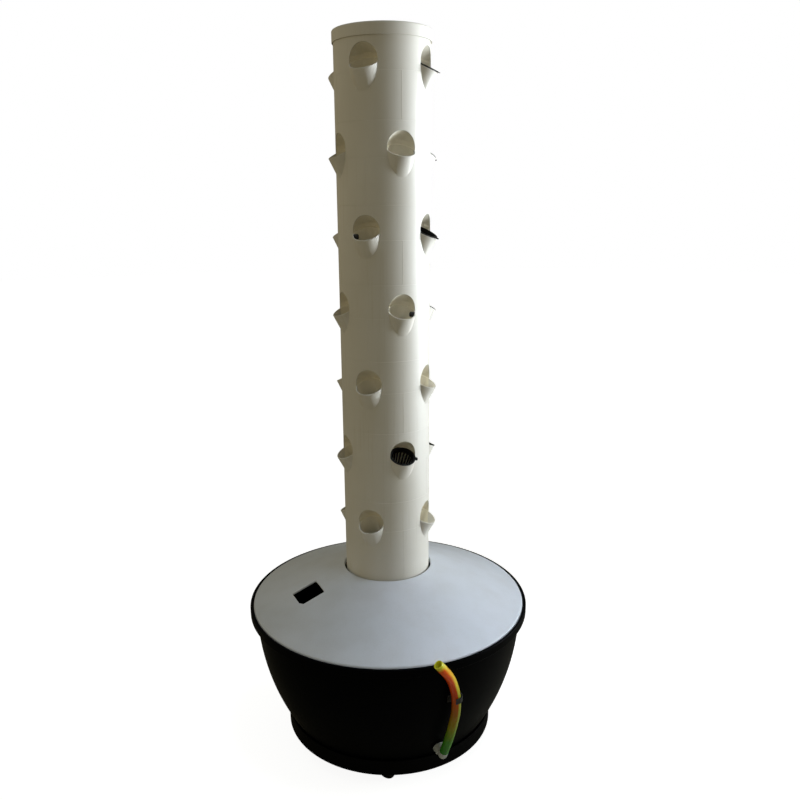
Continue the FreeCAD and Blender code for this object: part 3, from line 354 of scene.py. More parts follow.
def combined(body: bpy.types.Mesh, other: bpy.types.Mesh, join: Join) -> bpy.types.Mesh:
    """Boolean of two closed meshes.

    Args:
        body: First solid.
        other: Second solid.
        join: How they are combined.

    Returns:
        The new mesh.
    """
    tool = shown(other, "tool")
    thing = shown(body, "body")
    step = thing.modifiers.new("join", "BOOLEAN")
    step.operation = join.value
    step.solver = "EXACT"
    step.object = tool
    mesh = evaluated(thing)
    bpy.data.objects.remove(tool)
    return creased(mesh)


# Node trees

class NodeWriter:
    """Writer for the nodes of a tree."""

    def __init__(self, tree: bpy.types.NodeTree) -> None:
        """Keeps the tree that is written to."""
        self.tree = tree

    def node(self, kind: str, **settings: object) -> bpy.types.Node:
        """Adds a node with its settings.

        Args:
            kind: Type of the node.
            settings: Values of its properties.

        Returns:
            The node.
        """
        made = self.tree.nodes.new(kind)
        for name, value in settings.items():
            setattr(made, name, value)
        return made

    def feed(self, target: Socket, value: Fed) -> None:
        """Links a socket to a target, or sets the target's value.

        Args:
            target: Input that is fed.
            value: Socket or value that it takes.
        """
        if isinstance(value, bpy.types.NodeSocket):
            self.tree.links.new(value, target)
        else:
            target.default_value = value

    def result(self, kind: str, fed: dict[Union[str, int], Fed], **settings: object) -> Socket:
        """Adds a node, feeds its inputs and gives its first output.

        Args:
            kind: Type of the node.
            fed: Sockets or values by the name or number of the input.
            settings: Values of its properties.

        Returns:
            The node's first output.
        """
        made = self.node(kind, **settings)
        for name, value in fed.items():
            self.feed(made.inputs[name], value)
        return made.outputs[0]


class Pattern(Enum):
    """What a ring of parts does to the piece that it is set around."""

    ADD = "added"
    WELD = "welded"
    CUT = "cut"


class RingTree(NodeWriter):
    """Geometry node tree that sets copies of a part evenly around Z."""

    made: ClassVar[dict[Pattern, "RingTree"]] = {}
    inputs: ClassVar[dict[str, str]] = {
        "Part": "NodeSocketObject", "Count": "NodeSocketInt", "Radius": "NodeSocketFloat",
        "First Angle": "NodeSocketFloat", "Material": "NodeSocketMaterial"}

    def __init__(self, pattern: Pattern) -> None:
        """Builds the tree for one pattern.

        Args:
            pattern: What the ring does to the piece.
        """
        super().__init__(bpy.data.node_groups.new("ring_" + pattern.value, "GeometryNodeTree"))
        face = self.tree.interface
        for way in ("OUTPUT", "INPUT"):
            face.new_socket("Geometry", in_out=way, socket_type="NodeSocketGeometry")
        self.sockets = {name: face.new_socket(name, in_out="INPUT", socket_type=kind).identifier
                        for name, kind in self.inputs.items()}
        given = self.node("NodeGroupInput").outputs
        both = self.mixed(pattern, given["Geometry"], self.ring(given))
        real = self.result("GeometryNodeRealizeInstances", {"Geometry": both})
        painted_piece = self.result("GeometryNodeSetMaterial",
                                    {"Geometry": real, "Material": given["Material"]})
        self.feed(self.node("NodeGroupOutput").inputs["Geometry"], painted_piece)

    def ring(self, given: bpy.types.NodeOutputs) -> Socket:
        """Sets the copies around the axis.

        Args:
            given: The tree's inputs.

        Returns:
            Geometry of the ring of parts.
        """
        part = self.node("GeometryNodeObjectInfo")
        self.feed(part.inputs["Object"], given["Part"])
        points = self.result("GeometryNodeMeshCircle",
                             {"Vertices": given["Count"], "Radius": given["Radius"]})
        first = self.result("ShaderNodeCombineXYZ", {"Z": given["First Angle"]})
        turned = self.result("GeometryNodeTransform", {"Geometry": points, "Rotation": first})
        index = self.node("GeometryNodeInputIndex").outputs["Index"]
        share = self.result("ShaderNodeMath", {0: index, 1: given["Count"]}, operation="DIVIDE")
        angle = self.result("ShaderNodeMath", {0: share, 1: FULL_TURN, 2: given["First Angle"]},
                            operation="MULTIPLY_ADD")
        spin = self.result("ShaderNodeCombineXYZ", {"Z": angle})
        copies = self.result("GeometryNodeInstanceOnPoints", {
            "Points": turned, "Instance": part.outputs["Geometry"], "Rotation": spin})
        return self.result("GeometryNodeRealizeInstances", {"Geometry": copies})

    def mixed(self, pattern: Pattern, base: Socket, ring: Socket) -> Socket:
        """Combines the piece with the ring of parts.

        Args:
            pattern: What the ring does.
            base: Geometry of the piece.
            ring: Geometry of the ring.

        Returns:
            The combined geometry's socket.
        """
        if pattern is Pattern.ADD:
            both = self.node("GeometryNodeJoinGeometry")
            for shape in (base, ring):
                self.feed(both.inputs[0], shape)
            return both.outputs[0]
        weld = pattern is Pattern.WELD
        both = self.node("GeometryNodeMeshBoolean", operation="UNION" if weld else "DIFFERENCE",
                         solver="EXACT")
        self.feed(both.inputs["Mesh 2" if weld else "Mesh 1"], base)
        self.feed(both.inputs["Mesh 2"], ring)
        return both.outputs["Mesh"]

    @classmethod
    def of(cls, pattern: Pattern) -> "RingTree":
        """Finds the tree for a pattern, which is built once.

        Args:
            pattern: What the ring does to the piece.

        Returns:
            The tree.
        """
        if pattern not in cls.made:
            cls.made[pattern] = cls(pattern)
        return cls.made[pattern]


def ringed(base: bpy.types.Mesh, part: bpy.types.Mesh, count: int, pattern: Pattern,
           paint: bpy.types.Material, radius: float = 0.0, first: float = 0.0) -> bpy.types.Mesh:
    """Sets copies of a part around Z on a piece through the ring tree.

    Args:
        base: The piece.
        part: The part, as it stands at the angle 0.
        count: How many copies.
        pattern: Whether they are added, welded or cut.
        paint: Material of the result.
        radius: Distance from the axis in millimetres.
        first: Angle of the first copy in degrees.

    Returns:
        The new mesh.
    """
    tool = shown(part, "ring_part")
    thing = shown(base, "ring_base")
    ring = RingTree.of(pattern)
    step = thing.modifiers.new("ring", "NODES")
    step.node_group = ring.tree
    values = {"Part": tool, "Count": count, "Radius": radius * MM,
              "First Angle": math.radians(first), "Material": paint}
    for name, value in values.items():
        step[ring.sockets[name]] = value
    mesh = evaluated(thing)
    bpy.data.objects.remove(tool)
    return creased(mesh)


# Shared effects

class Shading(NodeWriter):
    """Writer for the nodes of a material, of the world or of a shader group."""

    def math(self, operation: str, *values: Fed, clamp: bool = False) -> Socket:
        """Arithmetic on one to three values.

        Args:
            operation: Name of the operation.
            values: What it is done to.
            clamp: Whether the result is kept between 0 and 1.

        Returns:
            The result.
        """
        return self.result("ShaderNodeMath", dict(enumerate(values)), operation=operation,
                           use_clamp=clamp)

    def blend(self, share: Fed, first: Colour | Socket, second: Colour | Socket) -> Socket:
        """Colour between two colours.

        Args:
            share: Share of the second colour.
            first: Colour at a share of 0.
            second: Colour at a share of 1.

        Returns:
            The colour.
        """
        first_input, second_input, colour_output = 6, 7, 2
        made = self.node("ShaderNodeMix", data_type="RGBA")
        self.feed(made.inputs["Factor"], share)
        for place, colour in ((first_input, first), (second_input, second)):
            self.feed(made.inputs[place], (*colour, 1.0) if isinstance(colour, tuple) else colour)
        return made.outputs[colour_output]

    def band(self, value: Fed, low: float, high: float, start: float = 0.0, end: float = 1.0) -> Socket:
        """Smooth step of a value.

        Args:
            value: The value.
            low: Where the step begins.
            high: Where the step ends.
            start: Result up to the step.
            end: Result past the step.

        Returns:
            The result.
        """
        return self.result("ShaderNodeMapRange", {
            "Value": value, "From Min": low, "From Max": high, "To Min": start, "To Max": end},
            interpolation_type="SMOOTHSTEP")

    def noise(self, place: Fed, scale: Fed, detail: float) -> Socket:
        """Value of a noise, about a half.

        Args:
            place: Coordinates that it is read at.
            scale: How fine it is.
            detail: How many finer layers it has.

        Returns:
            The value.
        """
        return self.result("ShaderNodeTexNoise", {"Vector": place, "Scale": scale, "Detail": detail})

    def parts(self, vector: Socket) -> bpy.types.NodeOutputs:
        """Splits a vector into its X, Y and Z."""
        made = self.node("ShaderNodeSeparateXYZ")
        self.feed(made.inputs[0], vector)
        return made.outputs

    def ramp(self, value: Fed, stops: Sequence[tuple[float, Colour]]) -> Socket:
        """Colour read off a row of stops.

        Args:
            value: Where the row is read.
            stops: Place and colour of each stop.

        Returns:
            The colour.
        """
        made = self.node("ShaderNodeValToRGB")
        self.feed(made.inputs["Fac"], value)
        elements = made.color_ramp.elements
        there = len(elements)
        for index, (place, colour) in enumerate(stops):
            stop = elements[index] if index < there else elements.new(place)
            stop.position = place
            stop.color = (*colour, 1.0)
        return made.outputs["Color"]

    def bump(self, height: Fed, strength: float, distance: float, normal: Socket | None = None) -> Socket:
        """Bumps a surface.

        Args:
            height: Height of the surface.
            strength: Share of the bump that shows.
            distance: Height of a full bump in metres.
            normal: Normal that it is laid on, if not the surface's own.

        Returns:
            The bumped normal.
        """
        fed: dict[Union[str, int], Fed] = {"Strength": strength, "Distance": distance, "Height": height}
        if normal:
            fed["Normal"] = normal
        return self.result("ShaderNodeBump", fed)

    def group(self, effect: "Effect", **values: Fed) -> bpy.types.Node:
        """Places a shared effect with its values.

        Args:
            effect: The effect.
            values: Sockets or values by the input's name in lower case.

        Returns:
            The group's node.
        """
        made = self.node("ShaderNodeGroup", node_tree=effect.tree())
        for name, value in values.items():
            self.feed(made.inputs[name.replace("_", " ").title()], value)
        return made


class Effect(Enum):
    """Shared effects, each a shader group that is built once."""

    SKIN = "moulded_skin"
    DUST = "settled_dust"
    STREAKS = "water_marks"
    SCUFFS = "scuffs"
    # Painted glow inside the column, for light through its thin walls.
    PAINTED_GLOW = "unfaded_inside"

    def tree(self) -> bpy.types.NodeTree:
        """Finds the effect's shader group, or builds it.

        Returns:
            The group.
        """
        found = bpy.data.node_groups.get(self.value)
        if found:
            return found
        made = bpy.data.node_groups.new(self.value, "ShaderNodeTree")
        {Effect.SKIN: skin_group, Effect.DUST: dust_group, Effect.STREAKS: streak_group,
         Effect.SCUFFS: scuff_group, Effect.PAINTED_GLOW: glow_inside_group}[self](made)
        return made


class EffectWriter(Shading):
    """Writer for a shader group with its sockets."""

    def __init__(self, tree: bpy.types.NodeTree, vectors: Sequence[str], values: dict[str, float],
                 outputs: Sequence[str] = ("Mask",)) -> None:
        """Makes the group's sockets.

        Args:
            tree: The group.
            vectors: Names of the vector inputs.
            values: Name and default of each value input.
            outputs: Names of the value outputs.
        """
        super().__init__(tree)
        face = tree.interface
        for name in vectors:
            face.new_socket(name, in_out="INPUT", socket_type="NodeSocketVector")
        for name, default in values.items():
            face.new_socket(name, in_out="INPUT", socket_type="NodeSocketFloat").default_value = default
        for name in outputs:
            face.new_socket(name, in_out="OUTPUT", socket_type="NodeSocketFloat")
        self.given = self.node("NodeGroupInput").outputs
        self.place = self.given["Vector"]
        self.made = self.node("NodeGroupOutput").inputs

    def times(self, first: Fed, second: Fed, clamp: bool = False) -> Socket:
        """Product of two values."""
        return self.math("MULTIPLY", first, second, clamp=clamp)

    def stretched(self, scale: tuple[float, float, float]) -> Socket:
        """The group's coordinates times a scale on each axis."""
        return self.result("ShaderNodeVectorMath", {0: self.place, 1: scale}, operation="MULTIPLY")

    def mask(self, lying: Socket) -> None:
        """Puts out a mask times the group's amount."""
        self.feed(self.made["Mask"], self.times(lying, self.given["Amount"], clamp=True))


def skin_group(tree: bpy.types.NodeTree) -> None:
    """Fine moulded grain, and the slow waviness and tint of a thick moulding.

    Args:
        tree: The group that is filled.
    """
    ink = EffectWriter(tree, ["Vector"], {"Grain Scale": 900.0, "Wave Scale": 9.0},
                       ["Grain", "Wave", "Tint"])
    grain_scale, wave_scale = ink.given["Grain Scale"], ink.given["Wave Scale"]
    ink.feed(ink.made["Grain"], ink.noise(ink.place, grain_scale, detail=2.0))
    ink.feed(ink.made["Wave"], ink.noise(ink.place, wave_scale, detail=1.0))
    clouds = ink.noise(ink.place, ink.times(wave_scale, 0.6), detail=4.0)
    ink.feed(ink.made["Tint"], ink.band(clouds, low=0.3, high=0.7))


def dust_group(tree: bpy.types.NodeTree) -> None:
    """Dust that lies on what faces up, thicker in patches and with specks.

    Args:
        tree: The group that is filled.
    """
    patch_share, speck_share = 0.7, 0.5
    ink = EffectWriter(tree, ["Vector", "Normal"], {"Amount": 0.3})
    level = ink.band(ink.parts(ink.given["Normal"])["Z"], low=0.15, high=0.95)
    patches = ink.band(ink.noise(ink.place, scale=14.0, detail=6.0), low=0.35, high=0.75)
    specks = ink.band(ink.noise(ink.place, scale=420.0, detail=2.0), low=0.56, high=0.72)
    cover = ink.math("ADD", ink.times(patches, patch_share), ink.times(specks, speck_share))
    ink.mask(ink.times(level, cover))


def streak_group(tree: bpy.types.NodeTree) -> None:
    """Dried runs of water down a round wall.

    Args:
        tree: The group that is filled.
    """
    across, along = 9.0, 2.6
    ink = EffectWriter(tree, ["Vector"], {"Amount": 0.3})
    where = ink.parts(ink.place)
    around = ink.math("ARCTAN2", where["Y"], where["X"])
    unrolled = ink.result("ShaderNodeCombineXYZ", {
        "X": ink.times(around, across), "Y": ink.times(where["Z"], along)})
    runs = ink.band(ink.noise(unrolled, scale=2.2, detail=5.0), low=0.52, high=0.72)
    patches = ink.band(ink.noise(ink.place, scale=6.0, detail=2.0), low=0.35, high=0.65)
    ink.mask(ink.times(runs, patches))


def scuff_group(tree: bpy.types.NodeTree) -> None:
    """Short fine scratches in patches.

    Args:
        tree: The group that is filled.
    """
    ink = EffectWriter(tree, ["Vector"], {"Scale": 30.0, "Amount": 0.3})
    level_marks = ink.stretched((1.0, 1.0, 12.0))
    marks = ink.band(ink.noise(level_marks, ink.given["Scale"], detail=8.0), low=0.6, high=0.68)
    patches = ink.band(ink.noise(ink.place, scale=7.0, detail=2.0), low=0.45, high=0.7)
    ink.mask(ink.times(marks, patches))


def glow_inside_group(tree: bpy.types.NodeTree) -> None:
    """Mask of the plastic nearer the tower's axis than a radius, where a painted glow stands in for light
    that shines through the thin walls and bounces inside.

    Args:
        tree: The group that is filled.
    """
    ink = EffectWriter(tree, ["Vector"], {"Radius": 0.1})
    reach = ink.node("ShaderNodeVectorMath", operation="LENGTH")
    ink.feed(reach.inputs[0], ink.stretched((1.0, 1.0, 0.0)))
    within = ink.math("SUBTRACT", ink.given["Radius"], reach.outputs["Value"])
    ink.feed(ink.made["Mask"], ink.band(within, low=0.0, high=0.0015))


# Finishes

def new_material(name: str, colour: Colour) -> tuple[bpy.types.Material, Shading, bpy.types.NodeInputs]:
    """Starts a material.

    Args:
        name: Its name.
        colour: Colour that a plain view shows it in.

    Returns:
        The material, a writer for its nodes and the inputs of its Principled shader.
    """
    made = bpy.data.materials.new(name)
    made.use_nodes = True
    made.diffuse_color = (*colour, 1.0)
    return made, Shading(made.node_tree), made.node_tree.nodes["Principled BSDF"].inputs


@dataclass(frozen=True)
class Moulding:
    """Moulded plastic, rubber or metal with grain, slow waves, dust, dried water and scuffs."""

    name: str
    colour: Colour
    tint: Colour
    roughness: float = 0.4
    grain: float = 0.05
    wave: float = 0.2
    dust: float = 0.2
    dust_colour: Colour = (0.52, 0.49, 0.44)
    streaks: float = 0.0
    streak_colour: Colour = (0.55, 0.5, 0.4)
    scuffs: float = 0.2
    coat: float = 0.0
    specular: float = 0.5
    softness: float = 0.0
    metallic: float = 0.0
    # Painted glow: a brighter, warmer colour inside a radius from the tower's axis, for light that shines
    # through the thin walls and bounces inside.
    inner_glow: Colour | None = None
    inner_glow_radius: float = 0.0
    uneven: ClassVar[float] = 0.1
    streak_rough: ClassVar[float] = 0.3
    scuff_rough: ClassVar[float] = 0.35
    dust_rough: ClassVar[float] = 0.4
    grain_scale: ClassVar[float] = 900.0
    grain_depth: ClassVar[float] = 0.0004
    wave_depth: ClassVar[float] = 0.002
    glow_radius: ClassVar[Colour] = (1.0, 0.85, 0.6)
    glow_depth: ClassVar[float] = 0.004

    def material(self) -> bpy.types.Material:
        """Finds the material, or builds it.

        Returns:
            The material.
        """
        found = bpy.data.materials.get(self.name)
        if found:
            return found
        made, ink, shader = new_material(self.name, self.colour)
        where = ink.node("ShaderNodeTexCoord").outputs
        skin = ink.group(Effect.SKIN, vector=where["Object"], grain_scale=self.grain_scale).outputs
        self.surface(ink, shader, where, skin["Tint"])
        grain = ink.bump(skin["Grain"], self.grain, self.grain_depth)
        ink.feed(shader["Normal"], ink.bump(skin["Wave"], self.wave, self.wave_depth, grain))
        values = {"Metallic": self.metallic, "Coat Weight": self.coat,
                  "Specular IOR Level": self.specular}
        if self.softness > 0.0:
            values |= {"Subsurface Weight": self.softness, "Subsurface Radius": self.glow_radius,
                       "Subsurface Scale": self.glow_depth}
        for name, value in values.items():
            shader[name].default_value = value
        return made

    def surface(self, ink: Shading, shader: bpy.types.NodeInputs, where: bpy.types.NodeOutputs,
                tint: Socket) -> None:
        """Lays tint, dried water, scuffs and dust on the colour and the roughness, and a painted glow on
        the colour inside the column.

        Args:
            ink: The material's writer.
            shader: Inputs of the Principled shader.
            where: Texture coordinates.
            tint: Mask of the tinted patches.
        """
        place = where["Object"]
        colour = ink.blend(tint, self.colour, self.tint)
        rough = ink.math("MULTIPLY_ADD", tint, self.uneven, self.roughness - self.uneven / 2.0)
        for effect, amount, over, rougher in (
                (Effect.STREAKS, self.streaks, self.streak_colour, self.streak_rough),
                (Effect.SCUFFS, self.scuffs, None, self.scuff_rough),
                (Effect.DUST, self.dust, self.dust_colour, self.dust_rough)):
            if amount <= 0.0:
                continue
            layer = ink.group(effect, vector=place, amount=amount)
            if effect is Effect.DUST:
                ink.feed(layer.inputs["Normal"], where["Normal"])
            if over:
                colour = ink.blend(layer.outputs["Mask"], colour, over)
            rough = ink.math("MULTIPLY_ADD", layer.outputs["Mask"], rougher, rough,
                             clamp=effect is Effect.DUST)
        # Painted glow: the colour inside the column is brighter and warmer, for light through the thin
        # walls.
        if self.inner_glow:
            within = ink.group(Effect.PAINTED_GLOW, vector=place, radius=self.inner_glow_radius)
            colour = ink.blend(within.outputs["Mask"], colour, self.inner_glow)
        ink.feed(shader["Base Color"], colour)
        ink.feed(shader["Roughness"], rough)


@dataclass(frozen=True)
class TintedHose:
    """Clear vinyl hose whose tint runs along it, with painted light on its right edge: lighter and yellower
    towards the window, with a painted highlight.
    """

    name: str = "tinted_vinyl"
    face: tuple[tuple[float, Colour], ...] = (
        (0.0, (0.015, 0.20, 0.006)), (0.12, (0.05, 0.24, 0.008)), (0.26, (0.24, 0.24, 0.006)),
        (0.42, (0.36, 0.13, 0.004)), (0.62, (0.62, 0.065, 0.003)), (0.82, (0.95, 0.085, 0.003)),
        (0.965, (1.0, 0.13, 0.004)), (0.99, (0.78, 0.74, 0.04)))
    # Colours off the face, seen along the hose's right edge: painted light, lighter and yellower towards
    # the window, with a painted highlight at 0.76.
    side: tuple[tuple[float, Colour], ...] = (
        (0.0, (0.03, 0.26, 0.008)), (0.14, (0.07, 0.26, 0.008)), (0.3, (0.23, 0.29, 0.008)),
        (0.6, (0.34, 0.35, 0.012)), (0.76, (0.85, 0.62, 0.04)), (0.93, (0.9, 0.45, 0.03)),
        (0.99, (0.78, 0.74, 0.04)))
    drift_scale: float = 60.0
    drift: float = 0.16
    drift_at_edge: float = 0.4
    face_turn: float = 0.19
    face_half: Point = (0.19, 0.29)
    narrowing: float = 0.3
    narrowing_start: float = -0.165
    ripple_scale: float = 160.0
    ripple: float = 0.12
    ripple_depth: float = 0.0006
    roughness: float = 0.2
    face_rougher: float = 0.12
    specular: float = 0.22
    coat: float = 0.14
    coat_roughness: float = 0.12

    def material(self) -> bpy.types.Material:
        """Builds the material, which reads the hose's own UV map.

        Returns:
            The material.
        """
        made, ink, shader = new_material(self.name, self.face[-1][1])
        chart = ink.parts(ink.node("ShaderNodeUVMap", uv_map="along_hose").outputs["UV"])
        along, around = chart["Y"], chart["X"]
        cloudy = ink.node("ShaderNodeTexCoord").outputs["Object"]
        drift = ink.math("MULTIPLY_ADD", ink.noise(cloudy, self.drift_scale, detail=3.0),
                         self.drift, -self.drift / 2.0)
        place = ink.math("ADD", along, ink.math("MULTIPLY", drift, ink.math("SUBTRACT", 1.0, along)))
        turned = ink.math("ABSOLUTE", ink.math("SUBTRACT", around, self.face_turn))
        narrowed = ink.math("MULTIPLY_ADD", along, self.narrowing, self.narrowing_start)
        wavy = ink.math("ADD", narrowed, ink.math("MULTIPLY", drift, self.drift_at_edge))
        edge = ink.band(ink.math("ADD", turned, wavy), *self.face_half, start=1.0, end=0.0)
        # The face's tint, against the painted light of the colours off the face.
        ink.feed(shader["Base Color"],
                 ink.blend(edge, ink.ramp(place, self.face), ink.ramp(place, self.side)))
        ripple = ink.noise(cloudy, self.ripple_scale, detail=2.0)
        ink.feed(shader["Normal"], ink.bump(ripple, self.ripple, self.ripple_depth))
        ink.feed(shader["Roughness"],
                 ink.math("MULTIPLY_ADD", edge, self.face_rougher, self.roughness))
        for name, value in (("Specular IOR Level", self.specular), ("Coat Weight", self.coat),
                            ("Coat Roughness", self.coat_roughness)):
            shader[name].default_value = value
        return made


# The column's plastic takes a painted glow inside the column, in its bore and pockets: light through the
# thin walls, painted as a brighter, warmer colour.
COLUMN_WHITE = Moulding("column_white", (0.80, 0.775, 0.705), (0.765, 0.735, 0.655), roughness=0.48,
                        wave=0.16, dust=0.25, streaks=0.28, streak_colour=(0.62, 0.57, 0.46), scuffs=0.3,
                        inner_glow=(0.955, 0.905, 0.765), inner_glow_radius=0.0988)
LID_WHITE = Moulding("lid_white", (0.78, 0.80, 0.84), (0.74, 0.765, 0.80), roughness=0.5, wave=0.3,
                     dust=0.25, streaks=0.0, scuffs=0.35)
PIPE_WHITE = Moulding("pipe_white", (0.82, 0.82, 0.81), (0.78, 0.78, 0.76), roughness=0.32, wave=0.05,
                      streaks=0.3, scuffs=0.2)
TANK_BLACK = Moulding("tank_black", (0.0008, 0.0009, 0.0014), (0.0014, 0.0016, 0.0022), roughness=0.4,
                      wave=0.35, dust=0.03, dust_colour=(0.02, 0.02, 0.02), streaks=0.05,
                      streak_colour=(0.006, 0.0065, 0.008), scuffs=0.25, specular=0.02)
DISH_BLACK = Moulding("dish_black", (0.0008, 0.0008, 0.001), (0.0016, 0.0016, 0.0018), roughness=0.58,
                      dust=0.03, dust_colour=(0.02, 0.02, 0.02), scuffs=0.4, specular=0.04)
WHEEL_BLACK = Moulding("wheel_black", (0.007, 0.007, 0.0075), (0.012, 0.012, 0.012), roughness=0.5,
                       dust=0.1, dust_colour=(0.1, 0.095, 0.09), scuffs=0.5, specular=0.35)
CUP_BLACK = Moulding("cup_black", (0.003, 0.003, 0.003), (0.006, 0.006, 0.0055), roughness=0.55,
                     dust=0.05, dust_colour=(0.06, 0.06, 0.055), specular=0.14)
PUMP_BLACK = Moulding("pump_black", (0.012, 0.013, 0.015), (0.018, 0.019, 0.022), roughness=0.5,
                      dust=0.3, dust_colour=(0.2, 0.2, 0.17), scuffs=0.4)
ROTOR_WHITE = Moulding("rotor_white", (0.72, 0.72, 0.7), (0.65, 0.65, 0.62), roughness=0.45)
SOFT_RUBBER = Moulding("soft_rubber", (0.02, 0.02, 0.02), (0.03, 0.03, 0.03), roughness=0.7,
                       grain=0.15, dust=0.2, dust_colour=(0.16, 0.15, 0.14))
MILKY = Moulding("milky_plastic", (0.5, 0.53, 0.51), (0.42, 0.45, 0.43), roughness=0.28, coat=0.3,
                 dust=0.1, softness=0.1)
CLIP_GREY = Moulding("smoky_plastic", (0.035, 0.035, 0.033), (0.045, 0.045, 0.042), roughness=0.45,
                     dust=0.08, dust_colour=(0.12, 0.12, 0.11), specular=0.12)
PIN_STEEL = Moulding("pin_steel", (0.55, 0.55, 0.56), (0.45, 0.45, 0.46), roughness=0.35, metallic=1.0,
                     dust=0.05, scuffs=0.6)


# Pieces

def fitted(mesh: bpy.types.Mesh, name: str, paint: bpy.types.Material, body: str,
           slot: str, *nodes: str) -> bpy.types.Object:
    """Sets a finished mesh on its body in place of frame nodes.

    Args:
        mesh: The finished mesh.
        name: Name of the piece.
        paint: Its material.
        body: Body that it rides on.
        slot: Name of a material slot; not used.
        nodes: Frame nodes that it stands for.

    Returns:
        The piece's object.
    """
    mesh.materials.clear()
    mesh.materials.append(paint)
    mesh.polygons.foreach_set("material_index", [0] * len(mesh.polygons))
    mesh.name = name
    thing = shown(mesh, name)
    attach(thing, body)
    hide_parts(*nodes)
    LOG.info("%s: %d faces on %s", name, len(mesh.polygons), body)
    return thing


def painted(node: str, paint: bpy.types.Material) -> None:
    """Gives a frame node its material.

    Args:
        node: Name of the node.
        paint: The material.
    """
    thing = frame["nodes"][node]
    thing.data.materials.clear()
    thing.data.materials.append(paint)
    LOG.info("%s: kept, %d faces", node, len(thing.data.polygons))


@dataclass(frozen=True)
class Lamp:
    """Soft square light, its place, its aim and its side in metres."""

    name: str
    place: tuple[float, float, float]
    aim: tuple[float, float, float]
    size: float
    spread: float
    power: float
    colour: Colour

    def build(self) -> None:
        """Adds the light to the scene."""
        data = bpy.data.lights.new(self.name, "AREA")
        data.shape = "SQUARE"
        data.size = self.size
        data.spread = math.radians(self.spread)
        data.energy = self.power
        data.color = self.colour
        lamp = bpy.data.objects.new(self.name, data)
        lamp.location = self.place
        lamp.rotation_euler = (Vector(self.aim) - Vector(self.place)).to_track_quat("-Z", "Y").to_euler()
        bpy.context.scene.collection.objects.link(lamp)


@dataclass
class Studio:
    """Plain floor and soft light, and the camera that looks at the tower's front.

    Focal length, picture and centre are in pixels, and the floor's radius is in metres.
    """

    focal: float = 795.9
    picture: float = 800.0
    centre: Point = (386.2, 433.4)
    eye: tuple[float, float, float] = (0.0, -1781.2, 1306.25)
    pitch: float = 16.36
    roll: float = 0.646
    sensor: float = 36.0
    farthest: float = 50.0
    floor_radius: float = 14.0
    floor_glow: float = 0.9
    floor_tones: tuple[Colour, Colour] = ((0.60, 0.60, 0.60), (0.63, 0.63, 0.63))
    floor_bounce: Colour = (0.50, 0.45, 0.34)
    light_below: Colour = (0.168, 0.134, 0.075)
    light_above: Colour = (0.206, 0.217, 0.198)
    side_glow: float = 1.9
    lamps: tuple[Lamp, ...] = (
        Lamp("window", (2.65, 0.42, 1.35), (0.0, 0.0, 1.52), 1.9, 58.0, 24.0, (0.87, 0.935, 1.0)),
        Lamp("ceiling", (0.7, -0.7, 3.6), (0.68, -0.5, 0.35), 0.9, 30.0, 3.2, (0.68, 0.80, 1.0)))

    def camera(self) -> None:
        """Sets up the camera."""
        data = bpy.data.cameras.new("camera")
        data.sensor_width = self.sensor
        data.lens = self.focal / self.picture * data.sensor_width
        data.shift_x = 0.5 - self.centre[0] / self.picture
        data.shift_y = self.centre[1] / self.picture - 0.5
        data.clip_end = self.farthest
        eye = bpy.data.objects.new("camera", data)
        eye.matrix_world = shift(*self.eye) @ turn(90.0 - self.pitch, "X") @ turn(-self.roll)
        bpy.context.scene.collection.objects.link(eye)
        bpy.context.scene.camera = eye

    def floor(self) -> None:
        """Lays a wide pale floor that nears white to the eye and still takes soft shadows."""
        shape = bmesh.new()
        bmesh.ops.create_circle(shape, cap_ends=True, segments=128, radius=self.floor_radius)
        mesh = filled(bpy.data.meshes.new("floor"), shape)
        paint, ink, shader = new_material("pale_floor", self.floor_tones[0])
        place = ink.node("ShaderNodeTexCoord").outputs["Object"]
        seen = ink.node("ShaderNodeLightPath").outputs["Is Camera Ray"]
        cloud = ink.band(ink.noise(place, scale=1.3, detail=3.0), low=0.3, high=0.7)
        ink.feed(shader["Base Color"],
                 ink.blend(seen, self.floor_bounce, ink.blend(cloud, *self.floor_tones)))
        ink.feed(shader["Emission Strength"], ink.math("MULTIPLY", seen, self.floor_glow))
        for name, value in (("Roughness", 0.9), ("Specular IOR Level", 0.1),
                            ("Emission Color", (1.0, 1.0, 1.0, 1.0))):
            shader[name].default_value = value
        mesh.materials.append(paint)
        ground = shown(mesh, "floor")

    def world(self) -> None:
        """Sets dim warm surroundings, brighter low on the left, behind a white background."""
        world = bpy.data.worlds.new("surroundings")
        world.use_nodes = True
        bpy.context.scene.world = world
        ink = Shading(world.node_tree)
        world.node_tree.nodes.clear()
        way = ink.parts(ink.node("ShaderNodeTexCoord").outputs["Generated"])
        up = ink.band(way["Z"], low=-0.1, high=0.9)
        side = ink.band(way["X"], low=-0.9, high=-0.2, start=self.side_glow, end=0.0)
        level = ink.band(way["Z"], low=0.2, high=0.6, start=1.0, end=0.0)
        lit = ink.result("ShaderNodeBackground", {
            "Color": ink.blend(up, self.light_below, self.light_above),
            "Strength": ink.math("MULTIPLY_ADD", side, level, 1.0)})
        seen = ink.result("ShaderNodeBackground", {"Color": (1.0, 1.0, 1.0, 1.0), "Strength": 1.0})
        to_eye = ink.node("ShaderNodeLightPath").outputs["Is Camera Ray"]
        pick = ink.result("ShaderNodeMixShader", {0: to_eye, 1: lit, 2: seen})
        ink.feed(ink.node("ShaderNodeOutputWorld").inputs[0], pick)

    def build(self) -> None:
        """Builds the studio."""
        bpy.context.scene.view_settings.view_transform = "Standard"
        self.camera()
        self.floor()
        self.world()
        for lamp in self.lamps:
            lamp.build()


